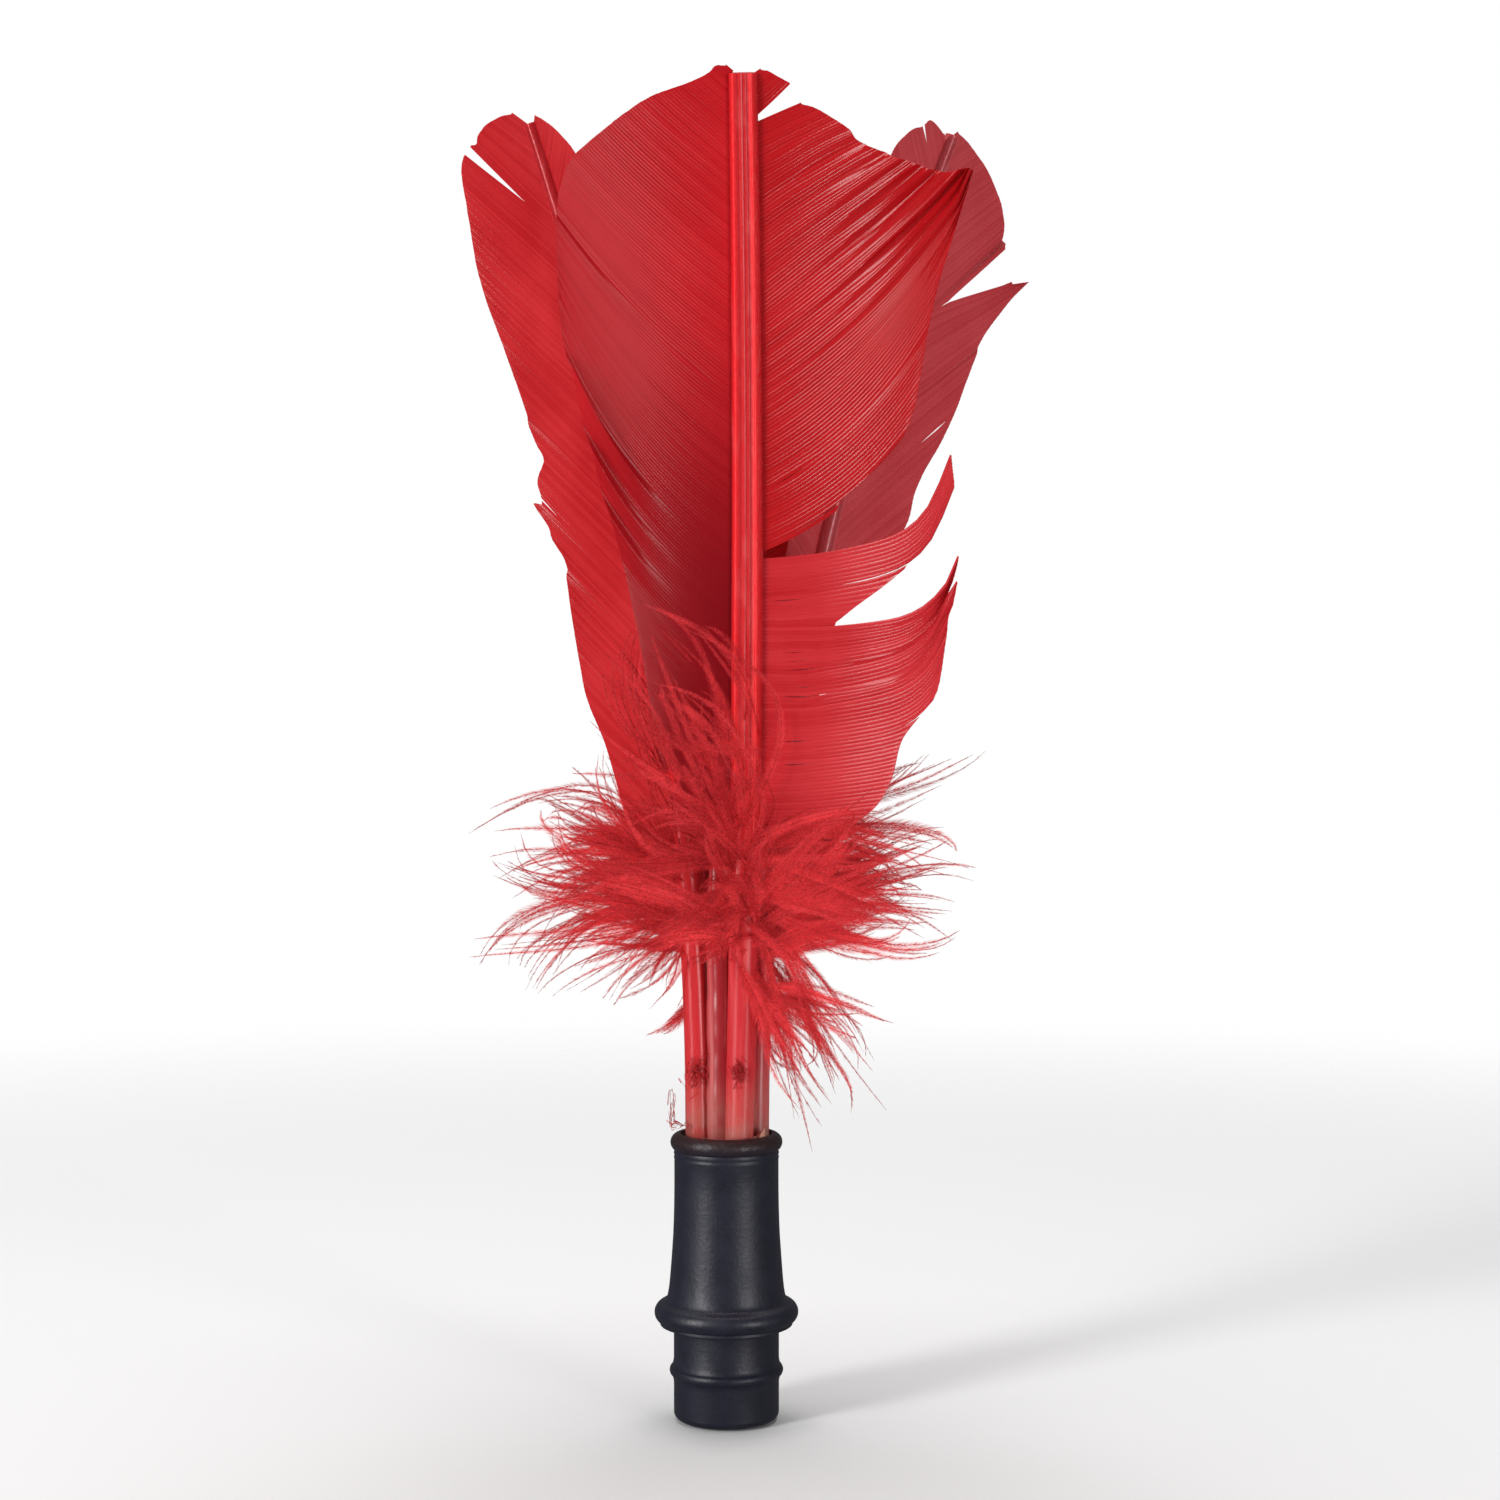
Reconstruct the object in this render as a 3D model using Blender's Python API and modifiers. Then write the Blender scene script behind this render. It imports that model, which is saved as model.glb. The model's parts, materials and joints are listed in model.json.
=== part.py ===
"""Feather tuft with a moulded plug, the replaceable top of a hand shuttlecock.

Four dyed wing quills stand in a black plug, bedded in adhesive.  The plug's spigot and snap bead
push into the striking pad, and its flange seats on the pad.  Each feather is a shaft with a vane
on both sides and a tuft of down at the foot of the vanes.

Units are metres, +Z is up, and the origin is the centre of the plug's flat lower end.
The front feather faces -Y.  Angles are in degrees and turns are in degrees per millimetre.
"""

import math

import bmesh
import bpy
from mathutils import Vector

MM = 0.001

# Driving dimensions of the plug.
SPIGOT_RADIUS = 8.7 * MM
SNAP_BEAD_RADIUS = 9.4 * MM
SNAP_BEAD_Z = 8.0 * MM
FLANGE_RADIUS = 11.9 * MM
FLANGE_LOWER_Z = 15.6 * MM
NECK_RADIUS = 8.65 * MM
RIM_RADIUS = 9.3 * MM
RIM_Z = 45.7 * MM
BORE_MOUTH_RADIUS = 7.6 * MM
BORE_FLOOR_RADIUS = 6.6 * MM
FLOOR_THICKNESS = 3.0 * MM
CORNER_RADIUS = 1.2 * MM

# Driving dimensions of the feathers.
FOOT_Z = RIM_Z + 0.9 * MM
TIP_Z = FOOT_Z + 167.0 * MM
QUILL_TIP_Z = 7.6 * MM
VANE_THICKNESS = 0.6 * MM
GAP = 0.3 * MM
BEDDING_GAP = 0.2 * MM

# How finely the solids are faceted.
TURNED_STEPS = 32
BEAD_STEPS = 6
SHAFT_RINGS = 15
VANE_ROWS = 17
BARB_POINTS = 5
TRACE_STEP = 0.25 * MM
LONGEST_BARB = 60 * MM


# ---------------------------------------------------------------- scene, materials and helpers

for leftover in list(bpy.data.objects):
    bpy.data.objects.remove(leftover)

tuft = bpy.data.collections.new("feather_tuft_with_plug")
bpy.context.scene.collection.children.link(tuft)
cutters = bpy.data.collections.new("cutters")
bpy.context.scene.collection.children.link(cutters)


def material(name, colour, roughness, metallic=0.0):
    made = bpy.data.materials.new(name)
    made.use_nodes = True
    shader = made.node_tree.nodes["Principled BSDF"]
    shader.inputs["Base Color"].default_value = (*colour, 1.0)
    shader.inputs["Roughness"].default_value = roughness
    shader.inputs["Metallic"].default_value = metallic
    return made


PLUG_PLASTIC = material("black_soft_plastic", (0.022, 0.023, 0.030), 0.55)
ADHESIVE = material("amber_adhesive", (0.45, 0.22, 0.12), 0.35)
SHAFT_KERATIN = material("red_dyed_shaft", (0.62, 0.028, 0.030), 0.30)
VANE_KERATIN = material("red_dyed_vane", (0.52, 0.020, 0.028), 0.50)
DOWN_KERATIN = material("red_dyed_down", (0.60, 0.030, 0.040), 0.85)


def add_object(name, data, surface, collection=tuft):
    made = bpy.data.objects.new(name, data)
    if surface:
        data.materials.append(surface)
    collection.objects.link(made)
    return made


def blend(low, high, share):
    return low + (high - low) * share


def smooth_shade(obj, sharp_degrees=35):
    obj.data.shade_smooth()
    obj.data.set_sharp_from_angle(angle=math.radians(sharp_degrees))


def tube(name, points, radii, surface, sides_resolution=2, collection=tuft):
    """A round tapering rod along the points, with flat caps."""
    curve = bpy.data.curves.new(name, "CURVE")
    curve.dimensions = "3D"
    curve.bevel_depth = MM
    curve.bevel_resolution = sides_resolution
    curve.use_fill_caps = True
    spline = curve.splines.new("POLY")
    spline.points.add(len(points) - 1)
    for station, point, radius in zip(spline.points, points, radii):
        station.co = (*point, 1.0)
        station.radius = radius / MM
    return add_object(name, curve, surface, collection)


# ---------------------------------------------------------------- plug, turned from one profile


def bead(radius_out, radius_in, centre_z):
    """Half-round bulge from radius_in above to radius_in below, reaching radius_out."""
    round_radius = (radius_out - radius_in) * 1.35
    centre_r = radius_out - round_radius
    reach = math.acos((radius_in - centre_r) / round_radius)
    angles = [blend(reach, -reach, i / BEAD_STEPS) for i in range(BEAD_STEPS + 1)]
    return [
        (centre_r + round_radius * math.cos(a), centre_z + round_radius * math.sin(a))
        for a in angles
    ]


def quarter(centre_r, centre_z, radius, start, end, steps=4):
    angles = [math.radians(blend(start, end, i / steps)) for i in range(steps + 1)]
    return [(centre_r + radius * math.cos(a), centre_z + radius * math.sin(a)) for a in angles]


def plug_profile():
    """(radius, height) pairs: across the bore's floor, up the bore, over the rim and down outside."""
    rim_round = 1.5 * MM
    flange_edge = 1.7 * MM
    flange_edge_z = FLANGE_LOWER_Z + 2.0 * MM
    root_fillet = 0.9 * MM
    floor = [(0.0, FLOOR_THICKNESS), (BORE_FLOOR_RADIUS, FLOOR_THICKNESS)]
    mouth = [(BORE_MOUTH_RADIUS, RIM_Z + 0.4 * MM), (BORE_MOUTH_RADIUS + 0.35 * MM, RIM_Z + 1.25 * MM)]
    rim = quarter(RIM_RADIUS - rim_round, RIM_Z, rim_round, 90, -62, 7)
    flare = [(0.0, 22.5), (0.1, 17.0), (0.35, 12.3), (0.7, 7.6), (1.1, 4.6), (1.7, 3.75)]
    neck = [(NECK_RADIUS, RIM_Z - 1.8 * MM)]
    neck += [(NECK_RADIUS + out * MM, FLANGE_LOWER_Z + up * MM) for out, up in flare]
    edge = quarter(FLANGE_RADIUS - flange_edge, flange_edge_z, flange_edge, 62, -62, 6)
    seat = [(FLANGE_RADIUS - 0.9 * MM, FLANGE_LOWER_Z), (SPIGOT_RADIUS + root_fillet, FLANGE_LOWER_Z)]
    fillet = quarter(
        SPIGOT_RADIUS + root_fillet, FLANGE_LOWER_Z - root_fillet, root_fillet, 112, 180, 3
    )
    snap = bead(SNAP_BEAD_RADIUS, SPIGOT_RADIUS, SNAP_BEAD_Z)
    end = quarter(SPIGOT_RADIUS - CORNER_RADIUS, CORNER_RADIUS, CORNER_RADIUS, 0, -90, 3)
    return floor + mouth + rim + neck + edge + seat + fillet + snap + end + [(0.0, 0.0)]


def turned(name, profile, surface):
    mesh = bpy.data.meshes.new(name)
    line = bmesh.new()
    points = [line.verts.new((radius, 0.0, height)) for radius, height in profile]
    for first, second in zip(points, points[1:]):
        line.edges.new((first, second))
    line.to_mesh(mesh)
    line.free()
    made = add_object(name, mesh, surface)
    screw = made.modifiers.new("turn", "SCREW")
    screw.steps = TURNED_STEPS
    screw.render_steps = TURNED_STEPS
    screw.use_merge_vertices = True
    screw.merge_threshold = 0.00005
    screw.use_smooth_shade = True
    return made


turned("plug", plug_profile(), PLUG_PLASTIC)


# ---------------------------------------------------------------- feather shafts


class Feather:
    """A shaft that stands at foot and leans outwards, as the square of its height above the plug."""

    def __init__(self, name, foot, lean, bow, radii):
        self.name = name
        self.foot = Vector(foot) * MM
        self.lean = Vector(lean) * MM
        self.bow = bow * MM
        self.radii = [radius * MM for radius in radii]

    def share(self, z):
        return (z - FOOT_Z) / (TIP_Z - FOOT_Z)

    def axis(self, z):
        """The shaft's centre at height z, straight and closing in below the plug's rim."""
        share = self.share(z)
        if share < 0:
            inward = 0.3 * (FOOT_Z - z) / (FOOT_Z - QUILL_TIP_Z)
            x, y = self.foot * (1 - inward)
            return Vector((x, y, z))
        x, y = self.foot + self.lean * share**2
        return Vector((x + self.bow * 4 * share * (1 - share), y, z))

    def radius(self, z):
        """Pointed at the buried end, fullest at the foot of the vanes, finer at the trimmed top."""
        tip, foot, middle, top = self.radii
        share = self.share(z)
        if share < 0:
            return blend(foot, tip, (FOOT_Z - z) / (FOOT_Z - QUILL_TIP_Z))
        if share < 0.5:
            return blend(foot, middle, share / 0.5)
        return blend(middle, top, (share - 0.5) / 0.5)


# foot and lean are (x, y); radii are at the buried tip, at the rim, half way up and at the top.
FRONT = Feather("front_feather", (2.1, -4.2), (0.7, -28.8), 1.15, (1.5, 2.35, 2.6, 2.2))
LEFT = Feather("left_feather", (-4.6, 0.2), (-27.4, -3.2), 0.0, (1.4, 2.25, 1.8, 1.3))
RIGHT = Feather("right_feather", (4.9, 0.9), (32.8, 4.1), 0.0, (1.4, 2.2, 1.8, 1.3))
BACK = Feather("back_feather", (-1.0, 4.6), (0.5, 28.0), 0.0, (1.4, 2.25, 1.9, 1.4))
FEATHERS = [FRONT, LEFT, RIGHT, BACK]


def shaft_stations(feather, first_z, last_z, rings, extra_radius=0.0):
    heights = [blend(first_z, last_z, i / (rings - 1)) for i in range(rings)]
    points = [feather.axis(z) for z in heights]
    return points, [feather.radius(z) + extra_radius for z in heights]


for feather in FEATHERS:
    buried = shaft_stations(feather, QUILL_TIP_Z, FOOT_Z - 4 * MM, 3)
    exposed = shaft_stations(feather, FOOT_Z + 4 * MM, TIP_Z, SHAFT_RINGS)
    tube(feather.name + "_shaft", buried[0] + exposed[0], buried[1] + exposed[1], SHAFT_KERATIN)


# ---------------------------------------------------------------- adhesive that beds the quills


def mesh_from_curve(obj, name, collection):
    """Turns a capped tube into a closed mesh, so that a Boolean can use it."""
    evaluated = obj.evaluated_get(bpy.context.evaluated_depsgraph_get())
    mesh = bpy.data.meshes.new_from_object(evaluated)
    closed = bmesh.new()
    closed.from_mesh(mesh)
    bmesh.ops.remove_doubles(closed, verts=closed.verts, dist=0.000001)
    bmesh.ops.recalc_face_normals(closed, faces=closed.faces)
    closed.to_mesh(mesh)
    closed.free()
    made = bpy.data.objects.new(name, mesh)
    made.matrix_world = obj.matrix_world
    collection.objects.link(made)
    bpy.data.objects.remove(obj)
    return made


def adhesive_plug():
    """A taper that fills the bore to just below the rim, with a blind hole for each quill."""
    low_z = FLOOR_THICKNESS + BEDDING_GAP
    high_z = RIM_Z - 0.6 * MM
    mesh = bpy.data.meshes.new("adhesive")
    cone = bmesh.new()
    bmesh.ops.create_cone(
        cone,
        cap_ends=True,
        segments=TURNED_STEPS,
        radius1=BORE_FLOOR_RADIUS - BEDDING_GAP,
        radius2=BORE_MOUTH_RADIUS - BEDDING_GAP,
        depth=high_z - low_z,
    )
    cone.to_mesh(mesh)
    cone.free()
    made = add_object("adhesive", mesh, ADHESIVE)
    made.location.z = (low_z + high_z) / 2
    for feather in FEATHERS:
        points, radii = shaft_stations(
            feather, QUILL_TIP_Z - BEDDING_GAP, FOOT_Z, 3, BEDDING_GAP
        )
        rod = tube(feather.name + "_hole_curve", points, radii, None, 2, cutters)
        bpy.context.view_layer.update()
        hole = mesh_from_curve(rod, feather.name + "_hole", cutters)
        hole.hide_render = True
        hole.display_type = "WIRE"
        cut = made.modifiers.new(feather.name, "BOOLEAN")
        cut.operation = "DIFFERENCE"
        cut.object = hole
    return made


adhesive_plug()


# ---------------------------------------------------------------- vanes


class Vane:
    """One side of a feather: barbs that leave the shaft, climb outwards and end at a margin.

    heading is the level direction in which the vane leaves the shaft, and turn is how fast it
    curls from there; each is given at the plug's rim and at the shaft's top.  roots is the range
    of height over which barbs leave the shaft.  climb is a barb's angle above level at its root,
    and bend is how fast it steepens; each is given for the lowest and the highest barb.
    margin holds (height, width) pairs.  Heights are in millimetres above the feathers' foot.
    """

    def __init__(self, name, feather, heading, turn, roots, climb, bend, margin):
        self.name = name
        self.feather = feather
        self.heading = heading
        self.turn = turn
        self.roots = [FOOT_Z + root * MM for root in roots]
        self.climb = climb
        self.bend = bend
        self.margin = [(FOOT_Z + height * MM, width * MM) for height, width in margin]

    def width(self, z):
        """Distance from the shaft's centre to the margin at height z."""
        if z <= self.margin[0][0]:
            return self.margin[0][1]
        for (low, narrow), (high, wide) in zip(self.margin, self.margin[1:]):
            if z <= high:
                return blend(narrow, wide, (z - low) / (high - low))
        return self.margin[-1][1]

    def place(self, across, z):
        """The point at that distance across the vane, at height z: a level arc from the shaft."""
        share = self.feather.share(z)
        heading = math.radians(blend(*self.heading, share))
        turn = math.radians(blend(*self.turn, share)) / MM
        dx = (math.sin(heading + turn * across) - math.sin(heading)) / turn
        dy = (math.cos(heading) - math.cos(heading + turn * across)) / turn
        centre = self.feather.axis(z)
        return Vector((centre.x + dx, centre.y + dy, z))

    def barb(self, share):
        """Points (across, height) along the barb at this share of the way up the roots."""
        root_z = blend(*self.roots, share)
        climb = math.radians(blend(*self.climb, share))
        bend = math.radians(blend(*self.bend, share)) / MM
        across, z, run = self.feather.radius(root_z) + GAP, root_z, 0.0
        trace = [(across, z)]
        while run < LONGEST_BARB and (across < self.width(z) or len(trace) < 6):
            run += TRACE_STEP
            across += math.cos(climb + bend * run) * TRACE_STEP
            z += math.sin(climb + bend * run) * TRACE_STEP
            trace.append((across, z))
        last = len(trace) - 1
        return [trace[round(last * i / (BARB_POINTS - 1))] for i in range(BARB_POINTS)]

    def build(self):
        """A sheet whose rows follow the barbs, thickened on both sides."""
        mesh = bpy.data.meshes.new(self.name)
        sheet = bmesh.new()
        bmesh.ops.create_grid(sheet, x_segments=BARB_POINTS - 1, y_segments=VANE_ROWS - 1, size=1)
        barbs = [self.barb(row / (VANE_ROWS - 1)) for row in range(VANE_ROWS)]
        for vertex in sheet.verts:
            column = round((vertex.co.x + 1) / 2 * (BARB_POINTS - 1))
            row = round((vertex.co.y + 1) / 2 * (VANE_ROWS - 1))
            vertex.co = self.place(*barbs[row][column])
        sheet.to_mesh(mesh)
        sheet.free()
        made = add_object(self.name, mesh, VANE_KERATIN)
        smooth_shade(made)
        thicken = made.modifiers.new("thickness", "SOLIDIFY")
        thicken.thickness = VANE_THICKNESS
        thicken.offset = 0.0
        return made


VANES = [
    Vane(
        "front_feather_left_vane", FRONT,
        heading=(188, 186), turn=(0.6, 0.6), roots=(50, 165), climb=(34, 36), bend=(0.5, 0.1),
        margin=[(49, 9), (59, 13.5), (72, 16), (93, 20), (115, 26.5), (127, 29.5),
                (144, 30.5), (152.5, 28), (159.5, 19.5), (165, 8.5), (167.2, 2)],
    ),
    Vane(
        "front_feather_right_vane_upper", FRONT,
        heading=(-8, -6), turn=(-0.6, -0.8), roots=(95.5, 163), climb=(24, 36), bend=(1.3, 0.1),
        margin=[(106, 22), (112, 25.5), (121, 28.5), (133, 30.5), (144, 34.5), (150.5, 36.5),
                (151.5, 32), (154, 23), (158, 17), (162.5, 10), (166, 3)],
    ),
    Vane(
        "front_feather_right_vane_middle_lock", FRONT,
        heading=(-8, -6), turn=(-0.6, -0.8), roots=(84.5, 94), climb=(5, 3), bend=(0.75, 1.25),
        margin=[(84, 33.5), (103, 33.5), (108.5, 32.5)],
    ),
    Vane(
        "front_feather_right_vane_lower", FRONT,
        heading=(-8, -6), turn=(-0.6, -0.8), roots=(50.5, 82.5), climb=(0, -4), bend=(0.3, 1.15),
        margin=[(49.5, 10), (51, 16), (54.5, 22), (59, 24.5), (65, 26), (68, 28.5), (72, 32),
                (80, 33), (87.5, 33.5), (94, 34.5)],
    ),
    Vane(
        "left_feather_front_vane", LEFT,
        heading=(-25, -63), turn=(1.2, 0.3), roots=(66, 157), climb=(40, 40), bend=(0.3, 0.2),
        margin=[(66, 5), (84, 7), (114, 10), (144, 13), (159, 12), (167, 3)],
    ),
    Vane(
        "left_feather_back_vane", LEFT,
        heading=(115, 115), turn=(1.2, 0.9), roots=(50, 165), climb=(32, 36), bend=(0.4, 0.2),
        margin=[(50, 16), (60, 20), (72, 24), (96, 24), (107, 27.5), (120, 25.5), (142, 28.3),
                (151, 28), (160, 26), (164.5, 25), (168.3, 18.6), (169.8, 13), (170, 4)],
    ),
    Vane(
        "right_feather_front_vane", RIGHT,
        heading=(-150, -122), turn=(-1.2, -0.3), roots=(66, 157), climb=(40, 40), bend=(0.3, 0.2),
        margin=[(66, 5), (84, 7), (114, 10), (144, 14), (159, 14.5), (167.5, 5)],
    ),
    Vane(
        "right_feather_back_vane", RIGHT,
        heading=(65, 65), turn=(-1.2, -0.9), roots=(50, 164), climb=(32, 36), bend=(0.4, 0.2),
        margin=[(50, 14), (64, 20), (84, 25), (107, 25), (121, 28), (136, 29.5), (144, 31.5),
                (151.3, 27.5), (156, 26), (160, 22.5), (164.5, 15.5), (167.5, 5)],
    ),
    Vane(
        "back_feather_left_vane", BACK,
        heading=(172, 174), turn=(-0.6, -0.6), roots=(52, 157), climb=(34, 36), bend=(0.5, 0.1),
        margin=[(51, 9), (64, 15), (84, 20), (109, 25), (134, 26), (149, 23), (159, 13), (165, 3)],
    ),
    Vane(
        "back_feather_right_vane", BACK,
        heading=(8, 6), turn=(0.6, 0.6), roots=(52, 157), climb=(34, 36), bend=(0.5, 0.1),
        margin=[(51, 9), (64, 15), (84, 20), (109, 25), (134, 27), (149, 23), (159, 13), (165, 3)],
    ),
]

for vane in VANES:
    vane.build()


# ---------------------------------------------------------------- down at the foot of each feather

DOWN_RING_RADIUS = 17.5 * MM
DOWN_ROLL_RADIUS = 6.8 * MM
DOWN_HEIGHT_STRETCH = 1.9
DOWN_CENTRE_Z = FOOT_Z + 36.0 * MM
DOWN_ARC_POINTS = 7
DOWN_ARC_MARGIN = 9.0


def down_roll(name, facing):
    """A quarter ring of down, centred on the direction that the feather faces."""
    first = math.radians(facing - 45 + DOWN_ARC_MARGIN)
    last = math.radians(facing + 45 - DOWN_ARC_MARGIN)
    angles = [blend(first, last, i / (DOWN_ARC_POINTS - 1)) for i in range(DOWN_ARC_POINTS)]
    points = [Vector((math.cos(a), math.sin(a), 0)) * DOWN_RING_RADIUS for a in angles]
    roll = tube(name, points, [DOWN_ROLL_RADIUS] * DOWN_ARC_POINTS, DOWN_KERATIN)
    roll.location.z = DOWN_CENTRE_Z
    roll.scale.z = DOWN_HEIGHT_STRETCH
    return roll


for feather, facing in zip(FEATHERS, (270, 180, 0, 90)):
    down_roll(feather.name + "_down", facing)
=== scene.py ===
"""Looks for the feather tuft with plug: four red-dyed wing feathers glued in a black moulded plug.

Shapes are worked out in millimetres and turned to metres as each mesh is made.
"""

import json
import math

import bmesh
import bpy
import numpy as np
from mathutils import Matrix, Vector


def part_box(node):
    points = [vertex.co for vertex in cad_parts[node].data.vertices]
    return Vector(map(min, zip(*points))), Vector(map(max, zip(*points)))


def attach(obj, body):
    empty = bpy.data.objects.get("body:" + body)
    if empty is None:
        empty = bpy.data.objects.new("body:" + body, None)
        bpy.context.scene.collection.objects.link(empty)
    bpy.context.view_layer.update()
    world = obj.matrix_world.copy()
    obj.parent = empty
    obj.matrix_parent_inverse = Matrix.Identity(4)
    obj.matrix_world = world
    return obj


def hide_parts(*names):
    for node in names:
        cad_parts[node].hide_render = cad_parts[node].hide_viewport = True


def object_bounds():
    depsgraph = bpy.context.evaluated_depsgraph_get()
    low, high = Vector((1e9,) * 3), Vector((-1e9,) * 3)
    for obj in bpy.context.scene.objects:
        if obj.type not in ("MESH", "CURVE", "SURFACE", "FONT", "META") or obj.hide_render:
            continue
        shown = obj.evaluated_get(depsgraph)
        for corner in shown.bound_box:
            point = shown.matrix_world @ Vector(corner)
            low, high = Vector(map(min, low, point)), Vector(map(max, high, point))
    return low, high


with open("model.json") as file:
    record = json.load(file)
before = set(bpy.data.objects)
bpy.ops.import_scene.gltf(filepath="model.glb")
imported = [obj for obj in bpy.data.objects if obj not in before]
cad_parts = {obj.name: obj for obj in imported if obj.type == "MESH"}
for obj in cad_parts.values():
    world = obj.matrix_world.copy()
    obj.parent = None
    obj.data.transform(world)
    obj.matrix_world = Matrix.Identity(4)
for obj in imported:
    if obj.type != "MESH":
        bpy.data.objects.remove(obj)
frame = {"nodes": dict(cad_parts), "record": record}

# ---------------------------------------------------------------- studio
# A pale floor and soft lamps: a broad key on the left in front, a weak fill on the right and an
# overhead lamp that clears the floor.  The camera stands level with the middle of the feathers.

MM = 0.001
cad_low, cad_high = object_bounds()


def linear(code):
    """An sRGB hex colour as linear red, green, blue and alpha."""
    shares = [int(code[i : i + 2], 16) / 255 for i in (1, 3, 5)]
    return (*[s / 12.92 if s <= 0.04045 else ((s + 0.055) / 1.055) ** 2.4 for s in shares], 1.0)


def add(tree, kind, inputs=None, **settings):
    """A new node with its settings, and with each input linked from a socket or set to a value."""
    made = tree.nodes.new("ShaderNode" + kind)
    for name, value in settings.items():
        setattr(made, name, value)
    for name, value in (inputs or {}).items():
        if isinstance(value, bpy.types.NodeSocket):
            tree.links.new(value, made.inputs[name])
        else:
            made.inputs[name].default_value = value
    return made


def spaced(size):
    """The texture scale whose pattern repeats about every size millimetres."""
    return 1 / (size * MM)


def new_finish(name):
    """A material with an empty tree, and its tree."""
    made = bpy.data.materials.new(name)
    made.use_nodes = True
    made.node_tree.nodes.clear()
    return made, made.node_tree


def finish_with(tree, **inputs):
    """Ends the tree in one Principled shader.  Underscores in the names stand for spaces."""
    shader = add(tree, "BsdfPrincipled", {k.replace("_", " "): v for k, v in inputs.items()})
    add(tree, "OutputMaterial", {"Surface": shader.outputs["BSDF"]})


def aimed(obj, spot, target):
    """Puts a lamp or camera at a spot, in metres, and points it at a target."""
    obj.location = Vector(spot)
    obj.rotation_euler = (Vector(target) - Vector(spot)).to_track_quat("-Z", "Y").to_euler()


def soft_lamp(name, spot, target, size, power):
    """A softbox: place and size in metres, power in watts."""
    lamp = bpy.data.lights.new(name, "AREA")
    lamp.shape = "RECTANGLE"
    lamp.size, lamp.size_y = size
    lamp.energy = power
    made = bpy.data.objects.new(name, lamp)
    bpy.context.scene.collection.objects.link(made)
    aimed(made, spot, target)


tuft_middle = (0.0, 0.0, 0.12)
key_size, fill_size, top_size = (0.26, 1.0), (0.28, 0.55), (1.0, 1.0)
soft_lamp("left_softbox", (-0.98, -0.80, 0.42), tuft_middle, key_size, 12.5)
soft_lamp("right_softbox", (0.80, -0.90, 0.13), tuft_middle, fill_size, 5.5)
soft_lamp("overhead_softbox", (0.0, 0.2, 1.3), (0.0, 0.0, 0.0), top_size, 13.0)

# The room is dim, so that the lamps shape the feathers, but what the camera sees of it is white.
ROOM_LIGHT = 0.12
world = bpy.data.worlds.new("studio")
bpy.context.scene.world = world
world.use_nodes = True
world.node_tree.nodes.clear()
seen = add(world.node_tree, "LightPath")
dim = add(world.node_tree, "Background", {"Color": linear("#FFFFFF"), "Strength": ROOM_LIGHT})
white = add(world.node_tree, "Background", {"Color": linear("#FFFFFF"), "Strength": 1.0})
sky = add(
    world.node_tree,
    "MixShader",
    {0: seen.outputs["Is Camera Ray"], 1: dim.outputs[0], 2: white.outputs[0]},
)
add(world.node_tree, "OutputWorld", {"Surface": sky.outputs[0]})


FLOOR_RADIUS = 0.64
FLOOR_FADE = (0.22, 0.62)


def white_paper():
    """Matt white paper.  It thins out to nothing so that no horizon crosses the view.  Its tooth is
    drawn at 1.1 mm, coarser than real, to show."""
    made, tree = new_finish("matt_white_paper")
    place = add(tree, "TexCoord").outputs["Object"]
    away = add(tree, "VectorMath", {0: place}, operation="LENGTH")
    thin = add(
        tree, "MapRange",
        {"Value": away.outputs["Value"], "From Min": FLOOR_FADE[0], "From Max": FLOOR_FADE[1]},
        interpolation_type="SMOOTHSTEP",
    )
    fibre = add(tree, "TexNoise", {"Vector": place, "Scale": spaced(1.111), "Detail": 3.0})
    tooth = add(tree, "Bump", {"Height": fibre.outputs["Fac"], "Strength": 0.1, "Distance": 0.1 * MM})
    paper = add(
        tree, "BsdfPrincipled",
        {"Base Color": linear("#F8F8F8"), "Roughness": 0.95, "Specular IOR Level": 0.1,
         "Normal": tooth.outputs[0]},
    )
    gone = add(tree, "BsdfTransparent")
    sheet = add(tree, "MixShader", {0: thin.outputs[0], 1: paper.outputs[0], 2: gone.outputs[0]})
    add(tree, "OutputMaterial", {"Surface": sheet.outputs[0]})
    return made


bpy.ops.mesh.primitive_circle_add(
    vertices=96, radius=FLOOR_RADIUS, fill_type="NGON", location=(0, 0, 0)
)
floor = bpy.context.object
floor.name = "studio_floor"
floor.location.z = cad_low.z - 0.2 * MM
floor.data.materials.append(white_paper())
floor.visible_glossy = False

# A level camera, 0.4 m in front of the plug's axis.
CAMERA_LENS = 57.6
camera_data = bpy.data.cameras.new("camera")
camera_data.lens = CAMERA_LENS
camera_data.clip_start = 0.01
camera = bpy.data.objects.new("camera", camera_data)
bpy.context.scene.collection.objects.link(camera)
CAMERA_SPOT = Vector((3.9, -398.0, 110.6)) * MM
aimed(camera, CAMERA_SPOT, CAMERA_SPOT + Vector((0, 1, 0)))
bpy.context.scene.camera = camera
bpy.context.scene.view_settings.view_transform = "Standard"

# ---------------------------------------------------------------- plug
# One moulding in soft black PVC: spigot with a snap bead, flange, tapering neck and a rolled rim.
# It comes satin from the mould.  Glue has browned and dulled the rim.

plug_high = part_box("plug")[1] / MM
mounts = {mount["name"]: mount for mount in frame["record"]["mounts"]}
seat_z = mounts["flange_seat"]["pos_m"][2] / MM
rim_round = 1.5
rim_z = plug_high.z - rim_round
FLANGE_ROUND = 1.75
BEAD_ROUND = 0.95
FOOT_ROUND = 1.2
BORE_FLOOR_Z = 3.0
TURNED_STEPS = 160


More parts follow.
